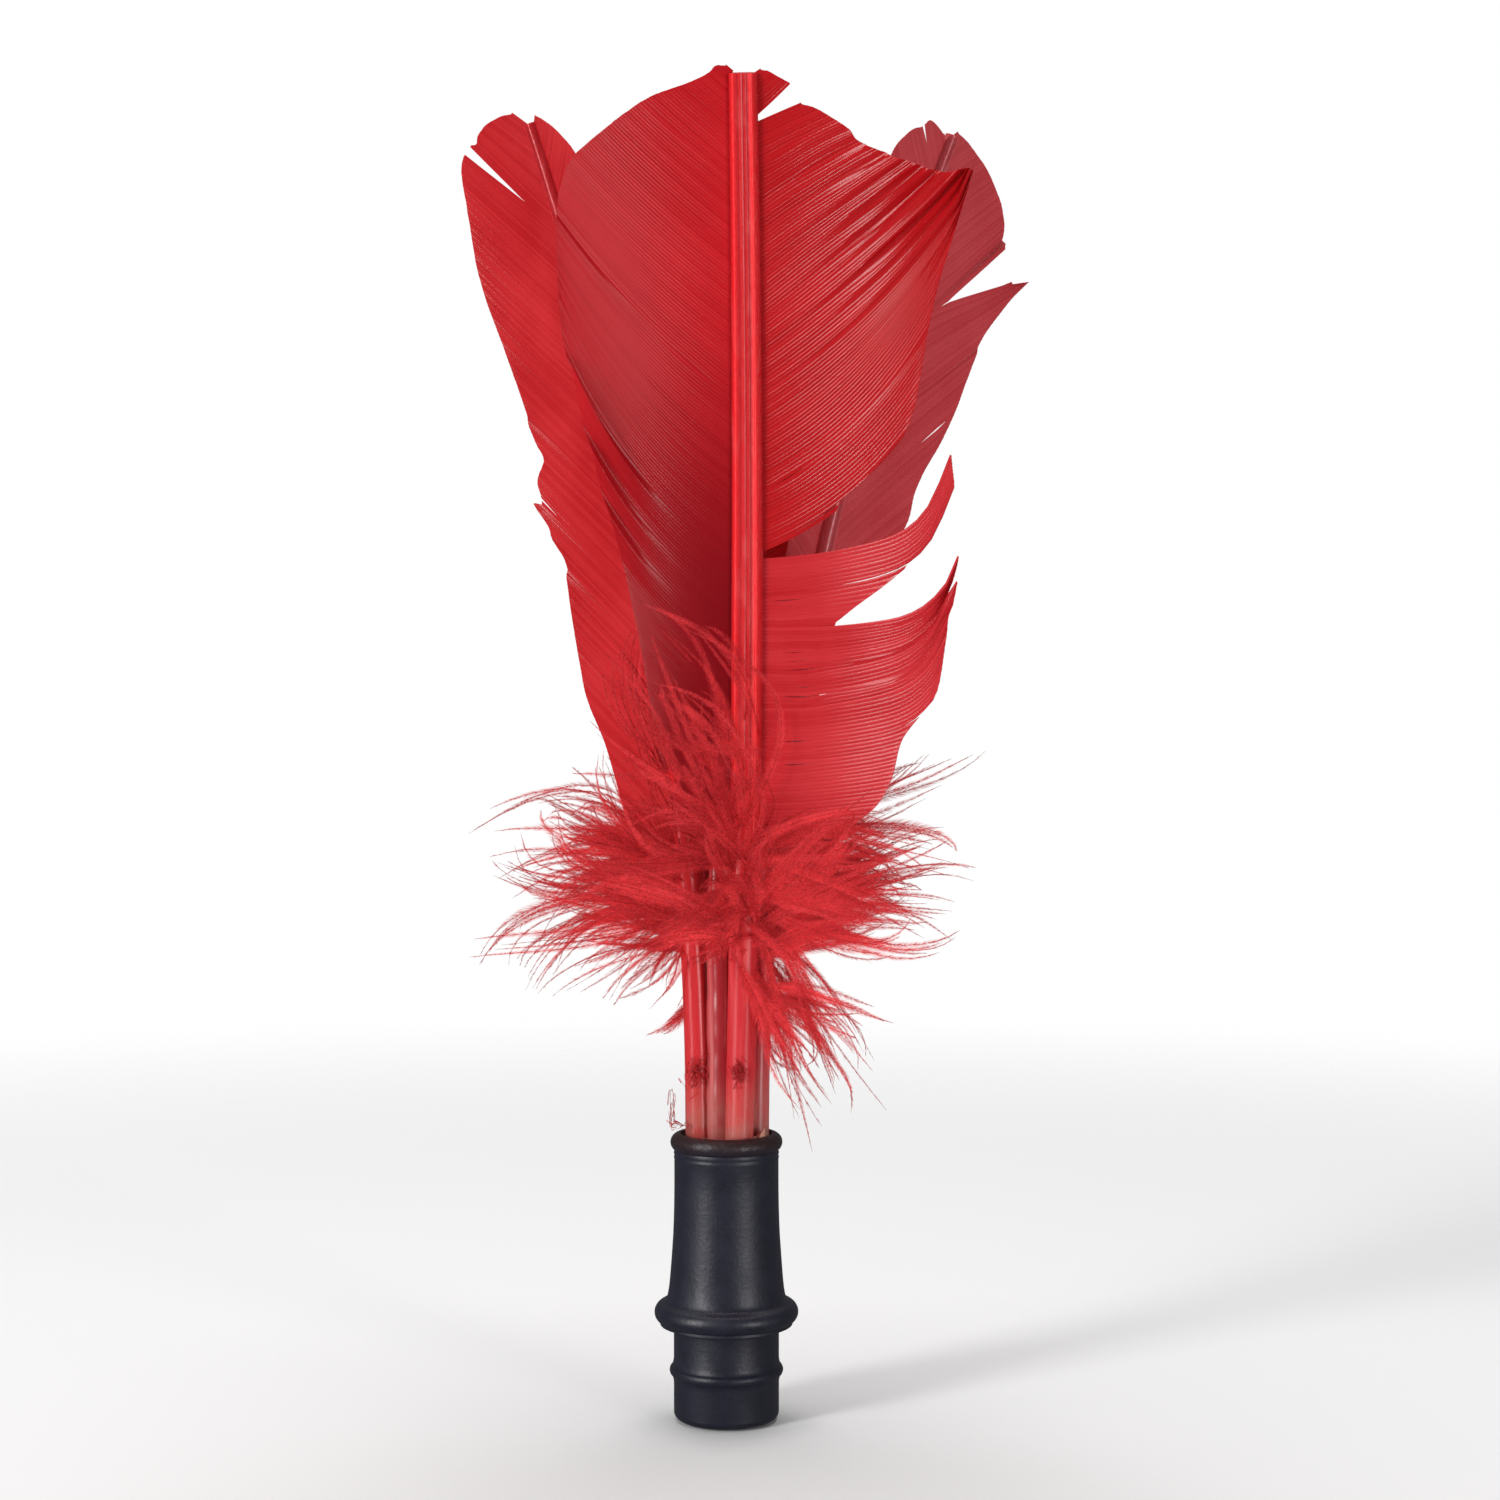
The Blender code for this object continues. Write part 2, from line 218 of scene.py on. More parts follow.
def arc(centre, radius, start, end, steps):
    """Points from start to end degrees on a circle in the turning plane, as (radius, height)."""
    angles = np.radians(np.linspace(start, end, steps))
    return [(centre[0] + radius * math.cos(a), centre[1] + radius * math.sin(a)) for a in angles]


def plug_profile():
    """From the bore's floor up the bore, over the rim and down the outside to the lower end, as
    (radius, height)."""
    flange_r, neck_r, spigot_r, rim_r = plug_high.x, 8.65, 8.7, 9.3
    bore = [(0.0, BORE_FLOOR_Z), (6.2, BORE_FLOOR_Z), (6.6, BORE_FLOOR_Z + 0.4), (7.1, 24.0)]
    bore += [(7.6, rim_z + 0.3)]
    rim = arc((rim_r - rim_round, rim_z), rim_round, 96, -58, 22)
    mould_line = [(neck_r + 0.1, rim_z - 1.75), (neck_r, rim_z - 1.95), (neck_r, rim_z - 2.3)]
    mould_line += [(neck_r + 0.09, rim_z - 2.5), (neck_r, rim_z - 2.75)]
    flare = [(0.0, 22.5), (0.03, 19.7), (0.1, 17.0), (0.2, 14.6), (0.35, 12.3), (0.52, 9.9)]
    flare += [(0.7, 7.6), (0.88, 5.9), (1.1, 4.7), (1.33, 4.15), (1.62, 3.8)]
    neck = [(neck_r + out, seat_z + up) for out, up in flare]
    flange = arc((flange_r - FLANGE_ROUND, seat_z + 2.0), FLANGE_ROUND, 64, -64, 20)
    seat = [(flange_r - 0.95, seat_z + 0.02), (flange_r - 1.3, seat_z), (spigot_r + 0.9, seat_z)]
    root = arc((spigot_r + 0.9, seat_z - 0.9), 0.9, 100, 180, 8)
    bead = [(spigot_r, 9.9), (spigot_r + 0.08, 9.5)] + arc((8.45, 8.0), BEAD_ROUND, 62, -62, 14)
    bead += [(spigot_r + 0.08, 6.5), (spigot_r, 6.1)]
    corner = arc((spigot_r - FOOT_ROUND, FOOT_ROUND), FOOT_ROUND, 0, -90, 12)
    return bore + rim + mould_line + neck + flange + seat + root + bead + corner + [(0.0, 0.0)]


def turned(name, profile, steps):
    """A closed solid turned about the Z axis from (radius, height) points."""
    form = bmesh.new()
    line = [form.verts.new((radius * MM, 0, height * MM)) for radius, height in profile]
    edges = [form.edges.new(pair) for pair in zip(line, line[1:])]
    bmesh.ops.spin(
        form, geom=line + edges, angle=2 * math.pi, steps=steps, axis=(0, 0, 1), cent=(0, 0, 0),
        use_merge=True,
    )
    bmesh.ops.remove_doubles(form, verts=form.verts, dist=1e-6)
    bmesh.ops.recalc_face_normals(form, faces=form.faces)
    mesh = bpy.data.meshes.new(name)
    form.to_mesh(mesh)
    form.free()
    return mesh


def shown(name, mesh, finishes, replaced):
    """Puts a mesh into the scene as a piece of the tuft that stands for the CAD nodes named."""
    mesh.shade_smooth()
    for finish in finishes:
        mesh.materials.append(finish)
    made = bpy.data.objects.new(name, mesh)
    bpy.context.scene.collection.objects.link(made)
    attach(made, "root")
    for node in replaced:
        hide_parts(node)
    return made


def cooling_wobble(x, y, z):
    """A slow unevenness from -1 to 1, as a soft moulding takes when it cools."""
    turn = math.atan2(y, x)
    return 0.5 * math.sin(2 * turn + 0.09 * z) + 0.3 * math.sin(3 * turn - 0.21 * z + 1.0)


STAIN_RAG = 2.2
STAIN_FROM, STAIN_TO = rim_z - 0.6, rim_z + 1.4


def satin_pvc():
    """Soft PVC, moulded: blue-black and satin, mottled over 4 mm, with an orange peel of 0.7 mm and
    dust on it.  Amber glue stains the rim, with a ragged edge."""
    made, tree = new_finish("black_soft_pvc_moulded")
    place = add(tree, "TexCoord").outputs["Object"]
    height = add(tree, "SeparateXYZ", {"Vector": place}).outputs["Z"]
    mottle = add(tree, "TexNoise", {"Vector": place, "Scale": spaced(3.846), "Detail": 4.0})
    peel = add(tree, "TexNoise", {"Vector": place, "Scale": spaced(0.6667), "Detail": 3.0})
    speck = add(tree, "TexVoronoi", {"Vector": place, "Scale": spaced(1.111)})
    smear = add(
        tree, "TexNoise",
        {"Vector": place, "Scale": spaced(2.381), "Detail": 6.0, "Distortion": 1.2},
    )
    black = add(
        tree, "MixRGB",
        {"Fac": mottle.outputs["Fac"], "Color1": linear("#131320"), "Color2": linear("#1F2033")},
    )
    dust = add(
        tree, "MapRange",
        {"Value": speck.outputs["Distance"], "From Min": 0.0, "From Max": 0.16, "To Min": 0.35,
         "To Max": 0.0},
    )
    dusty = add(
        tree, "MixRGB",
        {"Fac": dust.outputs[0], "Color1": black.outputs[0], "Color2": linear("#41434E")},
    )
    ragged = add(
        tree, "Math", {0: smear.outputs["Fac"], 1: STAIN_RAG * MM}, operation="MULTIPLY"
    )
    edge = add(tree, "Math", {0: height, 1: ragged.outputs[0]}, operation="ADD")
    glued = add(
        tree, "MapRange",
        {"Value": edge.outputs[0], "From Min": STAIN_FROM * MM, "From Max": STAIN_TO * MM},
    )
    stained = add(
        tree, "MixRGB",
        {"Fac": glued.outputs[0], "Color1": dusty.outputs[0], "Color2": linear("#2A171B")},
    )
    gloss = add(
        tree, "MapRange",
        {"Value": mottle.outputs["Fac"], "From Min": 0.3, "From Max": 0.7, "To Min": 0.38,
         "To Max": 0.50},
    )
    skin = add(
        tree, "Bump", {"Height": peel.outputs["Fac"], "Strength": 0.35, "Distance": 0.12 * MM}
    )
    crust = add(
        tree, "Bump",
        {"Height": smear.outputs["Fac"], "Strength": glued.outputs[0], "Distance": 0.3 * MM,
         "Normal": skin.outputs[0]},
    )
    finish_with(
        tree, Base_Color=stained.outputs[0], Roughness=gloss.outputs[0], IOR=1.53,
        Normal=crust.outputs[0],
    )
    return made


WOBBLE = 0.0035
plug_mesh = turned("plug_moulding", plug_profile(), TURNED_STEPS)
for vertex in plug_mesh.vertices:
    x, y, z = vertex.co / MM
    if z > FOOT_ROUND + 0.1:
        spread = 1 + WOBBLE * cooling_wobble(x, y, z)
        vertex.co = Vector((x * spread, y * spread, z)) * MM
plug = shown("plug_moulding", plug_mesh, [satin_pvc()], ["plug"])
plug.data.set_sharp_from_angle(angle=math.radians(50))

# ---------------------------------------------------------------- shafts
# The feathers' horn shafts, dyed red and polished by nature.  Above the down each has a grooved
# outer face and is cut off square at the top; below it is a round, glassy hollow quill.

RING_GAP = 4.0  # the CAD solid's rings are further apart than this
HORN_RINGS = 90
FACE_POINTS = 44
BACK_POINTS = 16
QUILL_TOP_Z, GROOVED_FROM_Z = 84.0, 112.0
RIB_DEPTH = 0.62
PLAIN_HORN = 0.12


def smooth_step(value, low, high):
    """0 below low, 1 above high, and an S curve between them."""
    share = np.clip((value - low) / (high - low), 0.0, 1.0)
    return share * share * (3 - 2 * share)


def unit(vectors):
    """The same directions with a length of 1."""
    return vectors / np.linalg.norm(vectors, axis=-1, keepdims=True)


class Feather:
    """A feather's shaft, read from the rings of its CAD solid.  facing is the level direction that
    its grooved side looks in, in degrees from +X, ribs are the ridges and grooves on that side,
    and depth is how far it stands out, as a share of the shaft's radius."""

    def __init__(self, name, facing, ribs, depth):
        self.name = name
        self.facing = math.radians(facing)
        self.ribs = ribs
        self.depth = depth
        spots = np.array([v.co for v in frame["nodes"][name + "_shaft"].data.vertices]) / MM
        spots = spots[np.argsort(spots[:, 2])]
        breaks = np.nonzero(np.diff(spots[:, 2]) > RING_GAP)[0] + 1
        rings = np.split(spots, breaks)
        centres = np.array([ring.mean(axis=0) for ring in rings])
        self.ring_z = centres[:, 2]
        self.ring_r = np.array(
            [np.linalg.norm(ring - c, axis=1).max() for ring, c in zip(rings, centres)]
        )
        exposed = centres[centres[:, 2] > plug_high.z]
        self.curve = [np.polyfit(exposed[:, 2], exposed[:, axis], 2) for axis in (0, 1)]
        self.buried = centres[centres[:, 2] < plug_high.z]
        self.foot_z, self.top_z = plug_high.z, exposed[-1, 2]

    def axis(self, z):
        """The shaft's centre at heights z, as an array of (x, y, z)."""
        z = np.asarray(z, float)
        bends = [np.polyval(c, np.maximum(z, self.foot_z)) for c in self.curve]
        known_z = np.append(self.buried[:, 2], self.foot_z)
        out = []
        for i in (0, 1):
            known = np.append(self.buried[:, i], np.polyval(self.curve[i], self.foot_z))
            out.append(np.where(z < self.foot_z, np.interp(z, known_z, known), bends[i]))
        return np.stack([*out, z], axis=-1)

    def radius(self, z):
        """The shaft's radius at heights z."""
        return np.interp(z, self.ring_z, self.ring_r)


# Each rib is (place from -1 to 1 across the face, height in mm, half width from 0 to 1).
FRONT_RIBS = [(-0.78, 0.30, 0.13), (-0.40, -0.10, 0.10), (-0.22, 0.14, 0.06), (-0.04, -0.12, 0.08),
              (0.08, 0.10, 0.05), (0.24, -0.16, 0.09), (0.52, 0.42, 0.15), (0.9, -0.1, 0.1)]
SIDE_RIBS = [(-0.62, 0.22, 0.2), (-0.1, -0.16, 0.1), (0.15, -0.1, 0.08), (0.55, 0.24, 0.2)]
FRONT = Feather("front_feather", 270, FRONT_RIBS, 0.62)
LEFT = Feather("left_feather", 205, SIDE_RIBS, 0.8)
RIGHT = Feather("right_feather", -25, SIDE_RIBS, 0.8)
BACK = Feather("back_feather", 90, FRONT_RIBS, 0.7)
FEATHERS = [FRONT, LEFT, RIGHT, BACK]


def closed_mesh(name, points, faces, attributes=None):
    """A mesh from points in millimetres, with a number on each point for each attribute."""
    mesh = bpy.data.meshes.new(name)
    mesh.from_pydata((np.asarray(points) * MM).tolist(), [], [list(map(int, f)) for f in faces])
    for key, values in (attributes or {}).items():
        layer = mesh.attributes.new(key, "FLOAT", "POINT")
        layer.data.foreach_set("value", np.asarray(values, np.float32))
    return mesh


def shaft_mesh(feather):
    """Rings of the ribbed outer face and the rounded back, lofted from buried tip to cut top."""
    heights = np.linspace(feather.ring_z[0], feather.top_z, HORN_RINGS)
    centre = feather.axis(heights)
    up = unit(np.gradient(centre, axis=0))
    out = np.array([math.cos(feather.facing), math.sin(feather.facing), 0.0])
    side = unit(np.cross(up, out))
    out = np.cross(side, up)
    ribbed = smooth_step(heights, QUILL_TOP_Z, GROOVED_FROM_Z)[:, None]
    face = np.cos(np.linspace(math.pi, 0.0, FACE_POINTS))
    back = np.cos(np.linspace(0.0, math.pi, BACK_POINTS + 2)[1:-1])
    round_face, round_back = np.sqrt(1 - face**2), -np.sqrt(1 - back**2)
    flat_face = feather.depth * (1 - np.abs(face) ** 5) ** 0.6
    radius = feather.radius(heights)[:, None]
    ripple = sum(h * np.exp(-(((face - place) / width) ** 2)) for place, h, width in feather.ribs)
    ripple = RIB_DEPTH * ripple * (1 - face**8)
    lift = (1 - ribbed) * round_face * radius + ribbed * (flat_face * radius + ripple)
    dip = round_back * radius * (1 - 0.25 * ribbed)
    across = np.tile(np.concatenate([face, back]), (HORN_RINGS, 1)) * radius
    outward = np.concatenate([lift, dip], axis=1)
    points = centre[:, None] + side[:, None] * across[..., None] + out[:, None] * outward[..., None]
    n = FACE_POINTS + BACK_POINTS
    faces = []
    for ring in range(HORN_RINGS - 1):
        for i in range(n):
            j = (i + 1) % n
            faces.append((ring * n + j, ring * n + i, (ring + 1) * n + i, (ring + 1) * n + j))
    faces.append(list(range(n)))
    faces.append([(HORN_RINGS - 1) * n + i for i in reversed(range(n))])
    # The relief of the face, which the horn finish turns into painted shade in the grooves and a
    # painted highlight on the ridges.
    groove = np.tile(ripple, (HORN_RINGS, 1)) * ribbed + PLAIN_HORN * (1 - ribbed)
    groove = np.concatenate([groove, np.full_like(dip, PLAIN_HORN)], axis=1)
    return closed_mesh(
        feather.name + "_horn", points.reshape(-1, 3), faces, {"groove": groove.ravel()}
    )


GRAIN_STRETCH = 0.035
GLUE_FILM_Z = (47.0, 58.0)


def dyed_horn(name, groove_shade, bright, pale, quill):
    """Keratin horn, dyed: glassy, with painted shade in the grooves, a painted highlight on the
    ridges and pale streaks along the grain, which is drawn 0.7 mm wide, coarser than real.  quill is
    the colour of the hollow part, where more light comes through.  Its foot is filmed with glue, so
    it is paler there."""
    made, tree = new_finish(name)
    place = add(tree, "TexCoord").outputs["Object"]
    height = add(tree, "SeparateXYZ", {"Vector": place}).outputs["Z"]
    drawn_out = add(tree, "Mapping", {"Vector": place, "Scale": (1.0, 1.0, GRAIN_STRETCH)})
    lines = drawn_out.outputs[0]
    grain = add(tree, "TexNoise", {"Vector": lines, "Scale": spaced(0.6667), "Detail": 3.0})
    streak = add(tree, "TexNoise", {"Vector": lines, "Scale": spaced(1.923), "Detail": 2.0})
    groove = add(tree, "Attribute", attribute_name="groove")
    # Painted shade and highlight: the grooves take the first colour and the ridges the bright one.
    groove_shading = add(
        tree, "MapRange",
        {"Value": groove.outputs["Fac"], "From Min": -0.10, "From Max": 0.20},
    )
    dye = add(
        tree, "MixRGB",
        {"Fac": groove_shading.outputs[0], "Color1": linear(groove_shade), "Color2": linear(bright)},
    )
    thin = add(
        tree, "MapRange",
        {"Value": streak.outputs["Fac"], "From Min": 0.55, "From Max": 0.74, "To Max": 0.5},
    )
    bare = add(
        tree, "MapRange",
        {"Value": height, "From Min": 104 * MM, "From Max": 84 * MM, "To Min": 0.45, "To Max": 1.3},
    )
    paled = add(tree, "Math", {0: thin.outputs[0], 1: bare.outputs[0]}, operation="MULTIPLY")
    low = add(
        tree, "MapRange",
        {"Value": height, "From Min": 100 * MM, "From Max": 86 * MM, "To Max": 0.75},
    )
    hollow = add(
        tree, "MixRGB", {"Fac": low.outputs[0], "Color1": dye.outputs[0], "Color2": linear(quill)}
    )
    streaked = add(
        tree, "MixRGB",
        {"Fac": paled.outputs[0], "Color1": hollow.outputs[0], "Color2": linear(pale)},
    )
    blot = add(tree, "TexNoise", {"Vector": place, "Scale": spaced(3.333), "Detail": 5.0})
    film = add(
        tree, "MapRange",
        {"Value": height, "From Min": GLUE_FILM_Z[1] * MM, "From Max": GLUE_FILM_Z[0] * MM,
         "To Max": 1.2},
    )
    filmed = add(tree, "Math", {0: film.outputs[0], 1: blot.outputs["Fac"]}, operation="MULTIPLY")
    glued = add(
        tree, "MixRGB",
        {"Fac": filmed.outputs[0], "Color1": streaked.outputs[0], "Color2": linear("#B8756A")},
    )
    gloss = add(
        tree, "MapRange",
        {"Value": grain.outputs["Fac"], "From Min": 0.3, "From Max": 0.7, "To Min": 0.2,
         "To Max": 0.34},
    )
    hair_lines = add(
        tree, "Bump", {"Height": grain.outputs["Fac"], "Strength": 0.4, "Distance": 0.08 * MM}
    )
    finish_with(
        tree, Base_Color=glued.outputs[0], Roughness=gloss.outputs[0], IOR=1.55,
        Specular_IOR_Level=0.4, Subsurface_Weight=0.3, Subsurface_Radius=(1.0, 0.12, 0.1),
        Subsurface_Scale=1.6 * MM, Normal=hair_lines.outputs[0],
    )
    return made


# In each horn the first colour is painted shade for the grooves, and the second, the horn's own red,
# is strongest on the ridges as a painted highlight.
bright_horn = dyed_horn("red_dyed_horn", "#B41820", "#FF2C32", "#F26A6A", "#C43038")
clear_horn = dyed_horn("clear_red_horn", "#A01A22", "#DE2A30", "#F07274", "#CC2E34")
# The right feather's horn is paler and pinker: partly its own colour, partly painted sheen.
pink_and_sheen_horn = dyed_horn("pink_red_horn_and_painted_sheen", "#A2343A", "#D0585C", "#E09698", "#BC444A")
HORN = {"left_feather": clear_horn, "right_feather": pink_and_sheen_horn}
for feather in FEATHERS:
    horn = HORN.get(feather.name, bright_horn)
    shaft = shown(
        feather.name + "_horn", shaft_mesh(feather), [horn], [feather.name + "_shaft"]
    )
    shaft.data.set_sharp_from_angle(angle=math.radians(60))

# ---------------------------------------------------------------- adhesive
# Amber hot-melt glue, tinted by the dye and poured in warm.  It fills the bore, creeps up the wall
# and the quills, with one lump squeezed out on the right.  Dark red columns between the quills are
# painted shade.

GLUE_RINGS = 40
GLUE_SPOKES = 120
GLUE_FOOT_R = 6.3
GLUE_OVERLAP = 0.12  # into the bore's wall, so that no gap shows
WALL_CREEP, QUILL_CREEP = 0.9, 1.5
LUMP_HEIGHT, LUMP_SPOT = 3.0, (6.2, -3.7)
glue_low, glue_high = (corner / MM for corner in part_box("adhesive"))


def glue_mesh():
    """A disc whose top rises in a meniscus at each quill and at the wall, closed underneath."""
    wall = glue_high.x + GLUE_OVERLAP
    radii = wall * np.sqrt(np.linspace(0.0004, 1.0, GLUE_RINGS))
    angles = np.linspace(0, 2 * math.pi, GLUE_SPOKES, endpoint=False)
    r, a = np.meshgrid(radii, angles, indexing="ij")
    x, y = r * np.cos(a), r * np.sin(a)
    rise = WALL_CREEP * np.exp(-(wall - r) / 0.5)
    for feather in FEATHERS:
        spot = feather.axis(glue_high.z)
        away = np.hypot(x - spot[0], y - spot[1]) - feather.radius(glue_high.z)
        rise = np.maximum(rise, QUILL_CREEP * np.exp(-np.maximum(away, 0) / 0.55))
    lump = LUMP_HEIGHT * np.exp(-((x - LUMP_SPOT[0]) ** 2 + (y - LUMP_SPOT[1]) ** 2) / 2.2)
    ripple = 0.18 * np.sin(7 * a + 2 * r) * (r / wall)
    top = np.stack([x, y, glue_high.z + rise + lump + ripple], axis=-1)
    foot = np.stack([x[-1], y[-1], np.full(GLUE_SPOKES, glue_low.z)], axis=-1)
    foot[:, :2] *= GLUE_FOOT_R / wall
    points = np.concatenate([top.reshape(-1, 3), foot])
    n = GLUE_SPOKES
    faces = []
    for ring in range(GLUE_RINGS):
        for i in range(n):
            j = (i + 1) % n
            faces.append((ring * n + i, (ring + 1) * n + i, (ring + 1) * n + j, ring * n + j))
    faces.append(list(range(n)))
    faces.append([GLUE_RINGS * n + i for i in reversed(range(n))])
    return closed_mesh("hot_melt_glue", points, faces)


def amber_glue():
    """Hot-melt glue, set: wet-looking amber, reddened in runs 3 mm apart where the dye got in."""
    made, tree = new_finish("amber_hot_melt_glue")
    place = add(tree, "TexCoord").outputs["Object"]
    run = add(tree, "TexNoise", {"Vector": place, "Scale": spaced(2.632), "Detail": 4.0})
    tint = add(
        tree, "MapRange", {"Value": run.outputs["Fac"], "From Min": 0.40, "From Max": 0.66}
    )
    colour = add(
        tree, "MixRGB",
        {"Fac": tint.outputs[0], "Color1": linear("#CE9E88"), "Color2": linear("#A04440")},
    )
    lumps = add(tree, "Bump", {"Height": run.outputs["Fac"], "Strength": 0.5, "Distance": 0.3 * MM})
    finish_with(
        tree, Base_Color=colour.outputs[0], Roughness=0.28, IOR=1.5, Subsurface_Weight=0.3,
        Subsurface_Radius=(1.0, 0.5, 0.3), Subsurface_Scale=1.5 * MM, Normal=lumps.outputs[0],
    )
    return made


SEAM_RINGS = 60
SEAM_SPOKES = 20
SEAM_TONE = 0.05  # as on horn that is neither ridge nor groove


def seam_mesh(name, one, other, width, top_z):
    """A wavering column drawn up between two quills, closed at both ends: painted shade in the gap.
    """
    rings, spokes = SEAM_RINGS, SEAM_SPOKES
    heights = np.linspace(glue_high.z - 1.0, top_z, rings)
    from_one, from_other = one.axis(heights), other.axis(heights)
    middle = 0.5 * (from_one + from_other)
    gap = unit(from_other - from_one)
    across = np.stack([-gap[:, 1], gap[:, 0], np.zeros(rings)], axis=1)
    waver = 1 + 0.04 * np.sin(heights * 0.5) + 0.02 * np.sin(heights * 1.3 + 1.0)
    taper = np.sqrt(1 - np.linspace(0, 0.98, rings) ** 6) * waver
    a = np.linspace(0, 2 * math.pi, spokes, endpoint=False)[:, None]
    ring = np.cos(a) * width[0] * gap[:, None] + np.sin(a) * width[1] * across[:, None]
    points = (middle[:, None] + ring * taper[:, None, None]).reshape(-1, 3)
    faces = [
        (k * spokes + i, k * spokes + (i + 1) % spokes, (k + 1) * spokes + (i + 1) % spokes,
         (k + 1) * spokes + i)
        for k in range(rings - 1)
        for i in range(spokes)
    ]
    faces.append(list(reversed(range(spokes))))
    faces.append([(rings - 1) * spokes + i for i in range(spokes)])
    return closed_mesh(name, points, faces, {"groove": np.full(len(points), SEAM_TONE)})


shown("hot_melt_glue", glue_mesh(), [amber_glue()], ["adhesive"])

# Between the quills stand columns made like their horn, but darker: painted shade for the gaps.
gap_shade_finish = dyed_horn("quill_gap_painted_shade", "#84121A", "#BE262C", "#E07C7C", "#A8222A")
# Each seam is (name, its two quills, half width and half depth, top).
SEAMS = [
    ("left_quill_gap_shade", LEFT, FRONT, (2.2, 1.7), 92.0),
    ("right_quill_gap_shade", FRONT, RIGHT, (1.8, 1.5), 86.0),
]
for name, one, other, width, top_z in SEAMS:
    shown(name, seam_mesh(name, one, other, width, top_z), [gap_shade_finish], [])

# ---------------------------------------------------------------- vanes
# Each vane is a row of stiff barbs that hook onto each other.  Every barb is a strip of its own
# with a ridge along it, cut off by scissors at the margin; where two have unhooked, a slit opens.
# Lengths are in millimetres and angles in degrees.

BARB_PITCH = 0.62
BARB_STATIONS = 18
TRACE_STEP = 0.25
WIDEST_VANE = 46.0
CLOSEST_BARBS = 0.17
STEEPEST_BARB = 66.0
HOOK_REACH = 0.46
LONGEST_REACH = 2.2
EDGE_BARB = 0.3
VANE_SEAT = 0.72  # where barbs start, as a share of the shaft's radius
STUB_STEPS = 4  # barbs that are no longer than this many steps are left out
CLIMB_SCATTER = 0.10
CUT_SCATTER = 0.06
SLIT_OPENING = 0.3  # added to the width of every slit
RIDGE = 0.085
KEEL = 0.09
RIDGE_PLACE = 0.3
RIDGE_TAPER = 0.4
FLAT_UNDER_PAINTED_SHADE = 0.8  # how far the ridge is flattened under the painted foot shade
BARB_DRIFT = 0.3
# Painted shade beside the shaft, where the shaft shades the vane: how dark, and how far out it
# reaches in mm.
SHAFT_PAINTED_SHADE, SHAFT_PAINTED_SHADE_WIDTH = 0.18, 1.2


class Slit:
    """Where two barbs have unhooked.  root is the height above the plug; the slit runs from near
    to far across the vane, or where far is None it is width wide at margin and runs out there.
    Barbs over spread on each side share the shift, and sag is the lower side's part of it."""

    def __init__(self, root, near, far, width, spread=1.6, margin=26.0, sag=0.5):
        self.root, self.near, self.far, self.width = root, near, far, width
        self.spread, self.margin, self.sag = spread, margin, sag


